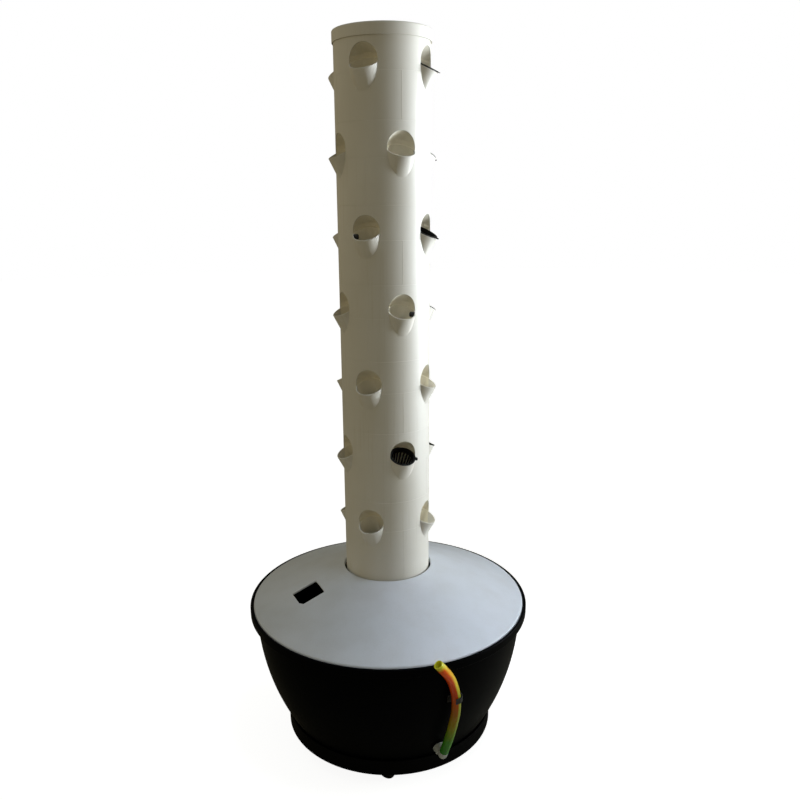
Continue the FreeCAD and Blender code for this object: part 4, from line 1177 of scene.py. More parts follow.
@dataclass
class LevelHose:
    """Tinted hose up the tank's side, on its elbow, with the fitting through the wall.

    The route's points, the elbow's centre and its directions are in metres.
    """

    radius: float = 10.3
    wall: float = 2.0
    lip: float = 0.6
    first_run: float = 36.0
    elbow_rise: float = 14.0
    elbow_reach: float = 24.0
    route: tuple[tuple[float, float, float], ...] = (
        (0.13694, -0.2910, 0.1940), (0.14451, -0.29894, 0.2400), (0.14436, -0.30403, 0.2840),
        (0.13455, -0.31094, 0.3240), (0.12176, -0.33093, 0.3570), (0.10165, -0.34097, 0.3850))
    length: float = 288.6
    around: int = 40
    crease: float = 50.0
    elbow: Vector = field(default_factory=Vector)
    out: Vector = field(default_factory=Vector)
    up: Vector = field(default_factory=Vector)

    def __post_init__(self) -> None:
        """Finds the elbow's centre and directions from the hose joint."""
        joint = next(j for j in frame["joints"] if j["name"] == "hose_swing")
        self.elbow = Vector(joint["pos_m"])
        self.out = -Vector(joint["axis"])
        across = self.out.cross(Vector((0.0, 0.0, 1.0))).normalized()
        self.up = across.cross(self.out).normalized()

    def fitting(self) -> Matrix:
        """Place of the wall's outer face at the fitting, with Z pointing out."""
        face = self.elbow - self.out * (self.elbow_reach * MM)
        return Matrix.Translation(face) @ self.out.to_track_quat("Z", "Y").to_matrix().to_4x4()

    def centreline(self) -> list[Vector]:
        """Smooths the route.

        Returns:
            Points along the smooth line that the route's corners give, in metres.
        """
        start = self.elbow + self.up * (self.elbow_rise * MM)
        corners = [start, start + self.up * (self.first_run * MM)] + [Vector(p) for p in self.route]
        data = bpy.data.curves.new("hose_route", "CURVE")
        data.dimensions = "3D"
        data.resolution_u = 14
        spline = data.splines.new("NURBS")
        spline.points.add(len(corners) - 1)
        for place, corner in zip(spline.points, corners):
            place.co = (*corner, 1.0)
        spline.order_u = 3
        spline.use_endpoint_u = True
        line = evaluated(bpy.data.objects.new("hose_route", data))
        places = [vertex.co.copy() for vertex in line.vertices]
        bpy.data.meshes.remove(line)
        return places

    def frames(self, places: list[Vector]) -> list[tuple[Vector, Vector, Vector]]:
        """Carries a frame along the centre line without twist.

        Args:
            places: Points of the centre line.

        Returns:
            Two directions across the hose and one along it, at each point.
        """
        last = len(places) - 1
        side = self.out
        frames = []
        for index in range(last + 1):
            along = (places[min(index + 1, last)] - places[max(index - 1, 0)]).normalized()
            side = (side - along * side.dot(along)).normalized()
            frames.append((side, along.cross(side), along))
        return frames

    def rings(self, last: int) -> list[tuple[int, float, float, int]]:
        """Lists the tube's rings, out along its face, over its lip and back along its bore.

        Args:
            last: Number of the centre line's last point.

        Returns:
            Point of the centre line, radius, move along it and row of the chart, for each ring.
        """
        outer, inner, lip = self.radius * MM, (self.radius - self.wall) * MM, self.lip * MM
        soft = 0.3 * lip
        end = ((outer, -lip), (outer - soft, -soft), (outer - lip, 0.0), (inner + lip, 0.0),
               (inner + soft, -soft), (inner, -lip))
        return ([(0, inner, 0.0, 0)] + [(index, outer, 0.0, index) for index in range(last)]
                + [(last, radius, move, last) for radius, move in end]
                + [(index, inner, 0.0, last) for index in range(last - 1, 0, -1)])

    def tube(self, places: list[Vector]) -> bpy.types.Mesh:
        """Hollow tube with a rounded end along the centre line.

        Args:
            places: Points of the centre line.

        Returns:
            The mesh, with a UV map of its way around and along.
        """
        last = len(places) - 1
        frames = self.frames(places)
        rings = self.rings(last)
        shape = bmesh.new()
        loops = []
        for index, radius, move, _ in rings:
            side, other, along = frames[index]
            centre = places[index] + along * move
            loops.append([shape.verts.new(centre + side * x + other * y)
                          for x, y in circle(radius, self.around)])
        chart = shape.loops.layers.uv.new("along_hose")
        for number, first in enumerate(loops):
            following = (number + 1) % len(loops)
            second = loops[following]
            low, high = rings[number][3], rings[following][3]
            for k in range(self.around):
                after = (k + 1) % self.around
                face = shape.faces.new((first[k], first[after], second[after], second[k]))
                spots = ((k, low), (k + 1, low), (k + 1, high), (k, high))
                for corner, (step, row) in zip(face.loops, spots):
                    corner[chart].uv = (step / self.around, row / last)
        bmesh.ops.recalc_face_normals(shape, faces=shape.faces)
        return creased(filled(bpy.data.meshes.new("level_hose_tube"), shape), self.crease)

    def build(self) -> None:
        places = self.centreline()
        thing = fitted(self.tube(places), "level_hose_tube", TintedHose().material(), "hose",
                       "hose_vinyl", "level_hose")
        length = sum((b - a).length for a, b in zip(places, places[1:]))
        LOG.info("hose centre line %.1f mm", length / MM)
        for node, finish in (("hose_elbow", MILKY), ("hose_fitting", MILKY), ("hose_locknut", MILKY),
                             ("hose_clip", CLIP_GREY), ("hose_gasket", SOFT_RUBBER)):
            painted(node, finish.material())


@dataclass
class Column:
    """Stacked column sections with their tilted planting pockets."""

    count: int = 7
    radius: float = 100.0
    wall: float = 2.5
    spigot_length: float = 14.0
    spigot_wall: float = 2.3
    spigot_clearance: float = 0.3
    top: float = 70.0
    skirt: float = 92.0
    lowest_skirt: float = 150.0
    joint_ease: float = 0.45
    seam_depth: float = 0.45
    seam_width: float = 0.9
    seam_round: float = 0.3
    line_proud: float = 0.3
    line_width: float = 0.9
    line_end: float = 1.2
    segments: int = 192
    ring_step: float = 8.0
    pockets: int = 4
    first_angle: float = -22.5
    layer_turn: float = 45.0
    tilt: float = 27.0
    pocket_radius: float = 30.0
    pocket_wall: float = 2.5
    pocket_segments: int = 72
    shell_over: float = 2.0
    draft: float = 1.4
    depth: float = 60.0
    drain: float = 4.0
    inset: float = 6.5
    rise: float = 14.0
    lip_round: float = 0.55
    lip_steps: int = 4
    hood_clearance: float = 0.3
    hood_wall: float = 2.0
    hood_straight: float = 9.0
    hood_lean: float = 62.0
    hood_collar: float = 6.0
    overlap: float = 0.01

    def place(self, angle: float = 0.0) -> Matrix:
        """Place of a pocket's mouth at an angle, about the section's seam."""
        return turn(angle) @ shift(self.radius - self.inset, 0.0, self.rise) @ turn(self.tilt, "Y")

    def pocket_place(self, layer: int, pocket: int) -> Matrix:
        """Place of a pocket's mouth on the standing column."""
        angle = self.angle(layer) + pocket * 360.0 / self.pockets
        return shift(0.0, 0.0, self.seam(layer)) @ self.place(angle)

    def angle(self, layer: int) -> float:
        """Angle of a section's first pocket."""
        return self.first_angle + (0.0 if layer % 2 else self.layer_turn)

    def seam(self, layer: int) -> float:
        """Height of a section's seam."""
        return highest("tower_section_%d" % layer) - self.top

    def rings(self, length: float) -> list[float]:
        """Even steps over a length of wall, short of its end, that keep its shading level."""
        count = int(length / self.ring_step)
        return [length * (index + 1) / (count + 1) for index in range(count)]

    def tube(self, skirt: float) -> bpy.types.Mesh:
        """Round wall with its spigot and the seam line around it.

        Args:
            skirt: Length of wall below the seam.

        Returns:
            The mesh.
        """
        inside = self.radius - self.wall
        spigot = inside - self.spigot_clearance
        inner = spigot - self.spigot_wall
        foot = -skirt - self.spigot_length
        groove = self.seam_width / 2.0
        below = [(self.radius, -height) for height in self.rings(skirt)[::-1]]
        seam = [(self.radius, -groove), (self.radius - self.seam_depth, 0.0, self.seam_round),
                (self.radius, groove)]
        above = [(self.radius, height) for height in self.rings(self.top)]
        outline = [(inner, foot), (spigot, foot, self.joint_ease), (spigot, -skirt),
                   (self.radius, -skirt, self.joint_ease)]
        outline += below + seam + above
        outline += [(self.radius, self.top, self.joint_ease), (inside, self.top),
                    (inside, inside - inner + self.wall - skirt), (inner, self.wall - skirt)]
        return lathe(rounded(outline, 3), self.segments, "column_wall")

    def shell(self) -> bpy.types.Mesh:
        """Outside of a pocket below its mouth, a little longer than it ends up.

        Returns:
            The mesh of the pocket at the angle 0.
        """
        foot = self.pocket_radius - self.draft
        grown = self.pocket_radius + self.draft * self.shell_over / self.depth
        profile = [(0.0, -self.depth), (foot, -self.depth), (grown, self.shell_over),
                   (0.0, self.shell_over)]
        return moved(lathe(profile, self.pocket_segments, "pocket_shell"), self.place())

    def sweep(self, radius: float, reach: float, name: str) -> bpy.types.Mesh:
        """Round bar that leans back towards the column from a hood's straight part.

        Args:
            radius: Its radius.
            reach: Its length.
            name: Name of the mesh.

        Returns:
            The mesh about the pocket's mouth.
        """
        lean = math.radians(self.hood_lean - self.tilt)
        return leaning_rod(radius, self.hood_straight - self.overlap,
                           (reach * math.sin(lean), reach * math.cos(lean)), self.pocket_segments, name)

    def hood(self) -> bpy.types.Mesh:
        """Wall of the hood between the mouth and the column, kept inside the column's wall.

        Returns:
            The mesh of the pocket at the angle 0.
        """
        radius = self.pocket_radius + self.hood_clearance + self.hood_wall
        straight = slab(circle(radius, self.pocket_segments), -self.hood_collar, self.hood_straight,
                        "hood")
        sweep = self.sweep(radius, 2.0 * self.pocket_radius, "hood")
        whole = moved(combined(straight, sweep, Join.WELD), self.place())
        bound = self.radius - self.wall / 2.0
        inside = lathe([(0.0, -self.skirt), (bound, -self.skirt), (bound, self.top), (0.0, self.top)],
                       self.segments, "hood_bound")
        return combined(whole, inside, Join.KEEP)

    def void(self) -> bpy.types.Mesh:
        """Space inside a pocket and its hood, with the rounding of its lip.

        Returns:
            The mesh of the pocket at the angle 0.
        """
        bore = self.pocket_radius - self.pocket_wall
        foot = bore - self.draft
        wide = self.pocket_radius + self.hood_clearance
        ease = self.lip_round
        crown = self.pocket_radius - ease
        below = self.depth + self.drain
        bends = [math.pi / 2.0 * step / self.lip_steps for step in range(self.lip_steps + 1)]
        profile = [(0.0, -below), (foot, -below), (foot, -self.depth), (bore, -ease)]
        profile += [(bore + ease * (1.0 - math.cos(bend)), ease * (math.sin(bend) - 1.0))
                    for bend in bends[1:]]
        profile += [(crown + ease * math.sin(bend), ease * (math.cos(bend) - 1.0))
                    for bend in bends[:-1]]
        profile += [(self.pocket_radius, -ease), (wide, -ease), (wide, self.hood_straight),
                    (0.0, self.hood_straight)]
        sweep = self.sweep(wide, 4.0 * self.pocket_radius, "void")
        straight = lathe(profile, self.pocket_segments, "void")
        return moved(combined(straight, sweep, Join.WELD), self.place())

    def line(self, skirt: float) -> bpy.types.Mesh:
        """Fine mould line down the wall, halfway between two pockets.

        Args:
            skirt: Length of wall below the seam.

        Returns:
            The mesh.
        """
        half = self.line_width / 2.0
        deep = self.radius - self.wall / 2.0
        proud = self.radius + self.line_proud
        bar = slab([(deep, -half), (self.radius, -half), (proud, -half / 3.0), (proud, half / 3.0),
                    (self.radius, half), (deep, half)],
                   -skirt + self.line_end, -self.seam_width, "mould_line")
        return moved(bar, turn(180.0 / self.pockets))

    def section(self, skirt: float, paint: bpy.types.Material) -> bpy.types.Mesh:
        """One section about its seam, its first pocket on +X.

        Args:
            skirt: Length of wall below the seam.
            paint: Its material.

        Returns:
            The finished mesh.
        """
        body = self.tube(skirt)
        for part, pattern in ((self.shell(), Pattern.WELD), (self.hood(), Pattern.WELD),
                              (self.void(), Pattern.CUT), (self.line(skirt), Pattern.ADD)):
            body = ringed(body, part, self.pockets, pattern, paint)
        return body

    def build(self) -> None:
        """Builds the sections, the lowest with its longer skirt."""
        paint = COLUMN_WHITE.material()
        upper = self.section(self.skirt, paint)
        lower = self.section(self.lowest_skirt, paint)
        for layer in range(1, self.count + 1):
            place = shift(0.0, 0.0, self.seam(layer)) @ turn(self.angle(layer))
            mesh = moved(lower if layer == self.count else upper, place)
            fitted(mesh, "column_section_%d" % layer, paint, "section_%d" % layer, "column_plastic",
                   "tower_section_%d" % layer)


@dataclass
class PocketBungs:
    """Small black domed bungs in the side wall of two empty pockets, at the lip.

    Each place holds the section, the pocket and the angle around it.
    """

    column: Column
    places: tuple[tuple[int, int, float], ...] = ((3, 3, -77.0), (4, 3, 77.0))
    radius: float = 5.6
    proud: float = 9.4
    root: float = 2.2
    dome: float = 4.6
    drop: float = 5.0

    def build(self) -> None:
        """Builds the two bungs."""
        bore = self.column.pocket_radius - self.column.pocket_wall
        paint = SOFT_RUBBER.material()
        outline = rounded([(0.0, -self.root), (self.radius, -self.root, self.dome),
                           (self.radius, self.proud, self.dome), (0.0, self.proud)], 6)
        shape = lathe(outline, 40, "bung")
        for layer, pocket, side in self.places:
            place = (self.column.pocket_place(layer, pocket) @ turn(side)
                     @ shift(bore, 0.0, -self.drop) @ turn(-90.0, "Y"))
            fitted(moved(shape, place), "pocket_bung_%d" % layer, paint, "section_%d" % layer, "rubber")


@dataclass
class NetCups:
    """Slotted cups that hang in some of the pockets.

    Each place holds the section and the pocket, and each turn is the angle of that cup's lug.
    """

    column: Column
    places: tuple[tuple[int, int], ...] = ((1, 0), (2, 0), (3, 0), (4, 0), (6, 3), (6, 0))
    turns: tuple[float, ...] = (0.0, 0.0, 0.0, 0.0, 65.0, 0.0)
    rim: float = 29.5
    rim_thickness: float = 1.6
    seat_gap: float = 0.2
    neck: float = 26.3
    foot: float = 19.5
    depth: float = 48.0
    wall: float = 1.4
    foot_round: float = 1.2
    floor_round: float = 0.8
    rim_round: float = 0.6
    rim_ease: float = 0.3
    mouth_round: float = 0.5
    segments: int = 60
    slots: int = 20
    slot_width: float = 3.9
    slot_top: float = 8.5
    slot_length: float = 31.0
    slot_arc_step: int = 30
    holes: int = 5
    hole_radius: float = 3.4
    hole_segments: int = 20
    lug_length: float = 5.0
    lug_width: float = 9.0
    lug_root: float = 1.5
    lug_round: float = 1.8
    lug_ease: float = 0.3
    lug_shy: float = 0.1

    def shell(self, low: float, top: float, base: float) -> bpy.types.Mesh:
        """The cup's round wall, floor and rim.

        Args:
            low: Height of the rim's lower face.
            top: Height of its upper face.
            base: Height of the foot.

        Returns:
            The mesh.
        """
        return lathe(rounded([
            (0.0, base), (self.foot, base, self.foot_round), (self.neck, low),
            (self.rim, low, self.rim_ease), (self.rim, top, self.rim_round),
            (self.neck - self.wall, top, self.mouth_round),
            (self.foot - self.wall, base + self.wall, self.floor_round), (0.0, base + self.wall)], 3),
            self.segments, "net_cup")

    def slot(self, low: float) -> bpy.types.Mesh:
        """Bar with round ends that cuts one slot.

        Args:
            low: Height of the rim's lower face.

        Returns:
            The mesh.
        """
        half = self.slot_width / 2.0
        ends = [(half * math.cos(bend), half * math.sin(bend))
                for bend in map(math.radians, range(0, 181, self.slot_arc_step))]
        high = low - self.slot_top
        deep = high - self.slot_length
        outline = [(x, high - half + y) for x, y in ends] + [(-x, deep + half - y) for x, y in ends]
        return moved(slab(outline, self.foot - 3.0 * self.wall, self.rim, "slot"),
                     turn(90.0) @ turn(90.0, "X"))

    def lug(self, low: float, top: float) -> bpy.types.Mesh:
        """Lug that the cup is lifted by.

        Args:
            low: Height of the rim's lower face.
            top: Height of its upper face.

        Returns:
            The mesh.
        """
        side = self.lug_width / 2.0
        near, far = self.rim - self.lug_root, self.rim + self.lug_length
        outline = rounded([(near, -side), (far, -side, self.lug_round), (far, side, self.lug_round),
                           (near, side)], 4)
        return eased(slab(outline, low + self.lug_shy, top - self.lug_shy, "lug"), self.lug_ease)

    def cup(self, paint: bpy.types.Material) -> bpy.types.Mesh:
        """One cup about its pocket's mouth.

        Args:
            paint: Its material.

        Returns:
            The finished mesh.
        """
        low = self.seat_gap
        top = low + self.rim_thickness
        base = low - self.depth
        drill = slab(circle(self.hole_radius, self.hole_segments), base - self.wall,
                     base + 3.0 * self.wall, "hole")
        hole = moved(drill, shift(self.foot - self.wall - 2.0 * self.hole_radius, 0.0, 0.0))
        body = ringed(self.shell(low, top, base), self.slot(low), self.slots, Pattern.CUT, paint)
        body = ringed(body, hole, self.holes, Pattern.CUT, paint)
        return combined(body, self.lug(low, top), Join.WELD)

    def build(self) -> None:
        """Builds the cups, each in its pocket."""
        paint = CUP_BLACK.material()
        cup = self.cup(paint)
        for number, ((layer, pocket), lug_turn) in enumerate(zip(self.places, self.turns), start=1):
            place = self.column.pocket_place(layer, pocket) @ turn(lug_turn)
            fitted(moved(cup, place), "slotted_cup_%d" % number, paint, "cup_%d" % number,
                   "cup_plastic", "net_cup_%d" % number)


@dataclass
class ColumnTop:
    """Flat cap and the perforated tray under it."""

    cap_radius: float = 102.7
    cap_wall: float = 1.8
    cap_round: float = 3.0
    cap_foot_round: float = 0.5
    cap_inner_round: float = 0.4
    cap_segments: int = 192
    ring_inner: float = 82.0
    ring_outer: float = 87.0
    ring_slope: float = 1.0
    ring_depth: float = 0.7
    ring_round: float = 0.4
    seat_outer: float = 98.6
    seat_inner: float = 95.6
    seat_round: float = 0.3
    tray_radius: float = 96.9
    tray_wall: float = 1.8
    tray_depth: float = 15.0
    tray_round: float = 1.2
    tray_inner_round: float = 1.0
    tray_segments: int = 128
    flange_radius: float = 99.3
    flange: float = 2.0
    flange_round: float = 0.4
    socket: float = 10.3
    socket_height: float = 8.0
    socket_drop: float = 10.0
    socket_round: float = 0.3
    socket_root: float = 0.8
    hole_rings: tuple[tuple[int, float], ...] = ((16, 86.0), (6, 40.0))
    hole_radius: float = 2.2
    hole_segments: int = 15

    def cap(self, paint: bpy.types.Material) -> None:
        """Builds the cap with a fine ring pressed into its top.

        Args:
            paint: Its material.
        """
        low = lowest("column_cap")
        top = highest("column_cap")
        seat = highest("water_tray")
        inside = self.cap_radius - self.cap_wall
        under = top - self.cap_wall
        sunk = top - self.ring_depth
        outline = rounded([
            (0.0, top), (self.ring_inner, top), (self.ring_inner + self.ring_slope, sunk, self.ring_round),
            (self.ring_outer - self.ring_slope, sunk, self.ring_round), (self.ring_outer, top),
            (self.cap_radius, top, self.cap_round), (self.cap_radius, low, self.cap_foot_round),
            (inside, low, self.cap_inner_round), (inside, under), (self.seat_outer, under),
            (self.seat_outer, seat, self.seat_round), (self.seat_inner, seat, self.seat_round),
            (self.seat_inner, under), (0.0, under)], 5)
        fitted(lathe(outline, self.cap_segments, "cap"), "column_cap_shell", paint, "cap",
               "column_plastic", "column_cap")

    def tray(self, paint: bpy.types.Material) -> None:
        """Builds the tray with its socket and drip holes.

        Args:
            paint: Its material.
        """
        seat = highest("water_tray") - self.flange
        brim = seat + self.flange
        base = seat - self.tray_depth
        floor = base + self.tray_wall
        inner = self.tray_radius - self.tray_wall
        socket = self.socket + self.tray_wall
        mouth, foot = base + self.socket_height, base - self.socket_drop
        body = lathe(rounded([
            (self.socket, mouth, self.socket_round), (self.socket, foot, self.socket_round),
            (socket, foot, self.socket_round), (socket, base, self.socket_root),
            (self.tray_radius, base, self.tray_round), (self.tray_radius, seat),
            (self.flange_radius, seat), (self.flange_radius, brim, self.flange_round),
            (inner, brim, self.flange_round), (inner, floor, self.tray_inner_round),
            (socket, floor, self.socket_root), (socket, mouth, self.socket_round)], 3),
            self.tray_segments, "tray")
        for count, ring in self.hole_rings:
            drill = slab(circle(self.hole_radius, self.hole_segments), base - self.tray_wall,
                         base + 2.0 * self.tray_wall, "drip_hole")
            body = ringed(body, drill, count, Pattern.CUT, paint, ring)
        fitted(body, "drip_tray", paint, "tray", "column_plastic", "water_tray")

    def build(self) -> None:
        """Builds the cap and the tray."""
        paint = COLUMN_WHITE.material()
        self.cap(paint)
        self.tray(paint)


@dataclass
class Tank:
    """Bowl-shaped tank and its shallow conical lid."""

    hose: LevelHose
    wall: float = 3.5
    base_radius: float = 237.0
    waist_radius: float = 302.0
    waist_height: float = 148.0
    top_radius: float = 322.0
    corner: float = 26.0
    wall_start: float = 1.4
    wall_steps: int = 26
    height: float = 300.5
    segments: int = 256
    rim_radius: float = 337.0
    rim_height: float = 20.0
    neck: float = 3.0
    neck_round: float = 2.0
    bead: float = 7.0
    bead_rise: float = 9.5
    bead_flat: float = 0.1
    lip_wall: float = 3.5
    lip_round: float = 1.2
    lip_inner_round: float = 1.0
    lip_root: float = 1.5
    ledge_root: float = 0.6
    ledge_round: float = 1.0
    pad_radius: float = 17.0
    pad: float = 2.0
    pad_flare: float = 3.0
    pad_round: float = 1.2
    pad_segments: int = 64
    hole_radius: float = 8.96
    hole_segments: int = 48
    drill_reach: float = 20.0
    lid_gap: float = 1.1
    lid_wall: float = 3.0
    lid_rise: float = 84.5
    lid_steps: int = 12
    lid_skirt: float = 6.5
    lid_round: float = 6.0
    lid_shoulder: Point = (0.5, 0.2)
    lid_edge: float = 0.6
    lid_root: float = 2.0
    lid_hole: float = 104.5
    lid_hole_round: float = 2.2
    lid_collar: float = 12.0
    collar_root: float = 1.0
    access_radius: float = 205.5
    access_angle: float = -156.0
    access_length: float = 60.0
    access_width: float = 62.0
    access_cut: float = 13.0
    access_round: float = 2.5
    access_cut_round: float = 1.5
    wall_crease: float = 40.0
    lid_crease: float = 30.0

    def arc(self) -> tuple[float, float, float]:
        """Finds the arc through the wall's foot, waist and top.

        Returns:
            Centre (r, z) and radius of the wall's arc.
        """
        floor = lowest("tank")
        (ax, az), (bx, bz), (cx, cz) = (
            (self.base_radius, floor), (self.waist_radius, floor + self.waist_height),
            (self.top_radius, floor + self.height))
        twice = 2.0 * (ax * (bz - cz) + bx * (cz - az) + cx * (az - bz))
        a2, b2, c2 = ax * ax + az * az, bx * bx + bz * bz, cx * cx + cz * cz
        r = (a2 * (bz - cz) + b2 * (cz - az) + c2 * (az - bz)) / twice
        z = (a2 * (cx - bx) + b2 * (ax - cx) + c2 * (bx - ax)) / twice
        return r, z, math.hypot(ax - r, az - z)

    def wall_radius(self, height: float, depth: float = 0.0) -> float:
        """Radius of the wall at a height, a depth inside its outer face."""
        r, z, radius = self.arc()
        return r + math.sqrt((radius - depth) ** 2 - (height - z) ** 2)

    def wall_points(self, low: float, high: float, depth: float) -> list[Corner]:
        """Points up the wall from its rounded foot.

        Args:
            low: Height of the foot.
            high: Height of the last point.
            depth: Distance inside the outer face.

        Returns:
            The points.
        """
        made: list[Corner] = [(self.wall_radius(low, depth), low, self.corner - depth)]
        first = low + self.corner * self.wall_start
        for step in range(self.wall_steps + 1):
            height = first + (high - first) * step / self.wall_steps
            made.append((self.wall_radius(height, depth), height))
        return made

    def shell(self) -> bpy.types.Mesh:
        """The tank's wall and floor with its ledge and rolled rim.

        Returns:
            The mesh.
        """
        floor = lowest("tank")
        ledge = floor + self.height
        under = ledge - self.wall
        crown = ledge + self.bead_rise
        bottom = crown - self.rim_height
        lip = self.rim_radius - self.lip_wall
        bead = self.rim_radius - self.bead
        roll = self.bead / 2.0 - self.bead_flat
        outline: list[Corner] = [(0.0, floor)] + self.wall_points(floor, under - self.neck, 0.0)
        outline += [
            (self.wall_radius(under), under, self.neck_round), (lip, under, self.lip_root),
            (lip, bottom, self.lip_inner_round), (self.rim_radius, bottom, self.lip_round),
            (self.rim_radius, crown, roll), (bead, crown, roll), (bead, ledge, self.ledge_root),
            (self.wall_radius(ledge, self.wall), ledge, self.ledge_round)]
        outline += self.wall_points(floor + self.wall, under, self.wall)[::-1]
        outline += [(0.0, floor + self.wall)]
        return lathe(rounded(outline, 8), self.segments, "tank", self.wall_crease)

    def bowl(self) -> None:
        """Builds the tank with its pad and hole for the hose fitting."""
        place = self.hose.fitting()
        flared = lathe(rounded([
            (0.0, -self.wall), (self.pad_radius + self.pad_flare, -self.wall),
            (self.pad_radius, self.pad, self.pad_round), (0.0, self.pad)], 4), self.pad_segments, "pad")
        inner = slab(circle(self.pad_radius, self.pad_segments), -self.wall - self.pad, 0.0, "pad")
        drill = slab(circle(self.hole_radius, self.hole_segments), -self.drill_reach,
                     self.drill_reach, "hole")
        body = self.shell()
        for part, join in ((flared, Join.WELD), (inner, Join.WELD), (drill, Join.CUT)):
            body = combined(body, moved(part, place), join)
        fitted(body, "tank_bowl", TANK_BLACK.material(), "base", "tank_plastic", "tank")

    def lid_slope(self) -> float:
        """Rise of the lid's cone for each millimetre towards the axis."""
        return self.lid_rise / (self.lid_cone_edge() - self.lid_hole)

    def lid_cone_edge(self) -> float:
        """Radius at which the lid's cone meets its rounded edge."""
        return self.rim_radius - self.bead - self.lid_gap - self.lid_round

    def lid_height(self, radius: float) -> float:
        """Height of the lid's upper face at a radius."""
        return (lowest("tank_lid") + self.lid_skirt + self.lid_round
                + self.lid_slope() * (self.lid_cone_edge() - radius))

    def access(self) -> bpy.types.Mesh:
        """Block that cuts the lid's opening, with one bevelled corner.

        Returns:
            The mesh.
        """
        low = lowest("tank_lid")
        half = self.access_length / 2.0
        side = self.access_width / 2.0
        near, far = self.access_radius - half, self.access_radius + half
        hole = rounded([
            (near, -side, self.access_round), (far, -side, self.access_round),
            (far, side - self.access_cut, self.access_cut_round),
            (far - self.access_cut / 2.0, side, self.access_cut_round), (near, side, self.access_round)], 5)
        return moved(slab(hole, low, low + 2.0 * self.lid_rise, "access"), turn(self.access_angle))

    def lid(self) -> None:
        """Builds the lid with its collar, its rounded edge and its opening."""
        outer = self.rim_radius - self.bead - self.lid_gap
        inner = outer - self.lid_wall
        low = lowest("tank_lid")
        drop = self.lid_wall / math.cos(math.atan(self.lid_slope()))
        collar = self.lid_hole + self.lid_wall
        foot = self.lid_height(self.lid_hole) - self.lid_collar
        cone = []
        for step in range(1, self.lid_steps):
            radius = self.lid_hole + (self.lid_cone_edge() - self.lid_hole) * step / self.lid_steps
            cone.append((radius, self.lid_height(radius)))
        back, rise = self.lid_shoulder
        top = [(self.lid_hole, self.lid_height(self.lid_hole), self.lid_hole_round)] + cone
        top += [(outer - back, self.lid_height(outer - back) + rise, self.lid_round),
                (outer, low, self.lid_edge)]
        under = [(inner, low, self.lid_edge), (inner, low + self.lid_skirt, self.lid_root)]
        under += [(radius, height - drop) for radius, height in reversed(cone)]
        under += [(collar, self.lid_height(collar) - drop, self.collar_root),
                  (collar, foot, self.lid_edge), (self.lid_hole, foot, self.lid_edge)]
        body = lathe(rounded(top + under, 7), self.segments, "lid", self.lid_crease)
        body = combined(body, self.access(), Join.CUT)
        fitted(body, "lid_cone", LID_WHITE.material(), "lid", "lid_plastic", "tank_lid")

    def build(self) -> None:
        """Builds the tank and the lid."""
        self.bowl()
        self.lid()


@dataclass
class Dish:
    """Dish that the tank stands in, ribbed underneath."""

    lip_wall: float = 2.8
    lip_round: float = 1.3
    foot_round: float = 0.8
    inner_root: float = 2.0
    under_root: float = 1.5
    segments: int = 192
    plate: float = 3.0
    ring: float = 200.0
    first_angle: float = -96.0
    count: int = 4
    boss_radius: float = 13.0
    boss_height: float = 8.0
    boss_segments: int = 40
    stem_hole: float = 4.06
    stem_depth: float = 10.5
    stem_segments: int = 24
    drill_over: float = 1.0
    rib: float = 4.0
    rib_shy: float = 0.4

    def build(self) -> None:
        """Builds the dish with its stem bosses and crossing ribs."""
        floor = lowest("tank")
        under = floor - self.plate
        middle = under + self.plate / 2.0
        foot = under - self.boss_height
        low, high = lowest("caster_dish"), highest("caster_dish")
        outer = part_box("caster_dish")[1].x / MM
        inner = outer - self.lip_wall
        paint = DISH_BLACK.material()
        body = lathe(rounded([
            (0.0, under), (inner, under, self.under_root), (inner, low, self.foot_round),
            (outer, low, self.foot_round), (outer, high, self.lip_round), (inner, high, self.lip_round),
            (inner, floor, self.inner_root), (0.0, floor)], 4), self.segments, "dish")
        boss = slab(circle(self.boss_radius, self.boss_segments), foot, middle, "boss")
        body = ringed(body, boss, self.count, Pattern.WELD, paint, self.ring, self.first_angle)
        half = self.rib / 2.0
        reach = inner + self.lip_wall / 2.0
        bar = slab([(-reach, -half), (reach, -half), (reach, half), (-reach, half)],
                   foot + self.rib_shy, middle, "rib")
        for angle in (self.first_angle, self.first_angle + 90.0):
            body = combined(body, moved(bar, turn(angle)), Join.WELD)
        drill = slab(circle(self.stem_hole, self.stem_segments), foot - self.drill_over,
                     foot + self.stem_depth, "stem_hole")
        body = ringed(body, drill, self.count, Pattern.CUT, paint, self.ring, self.first_angle)
        fitted(body, "dish_ribbed", paint, "base", "dish_plastic", "caster_dish")


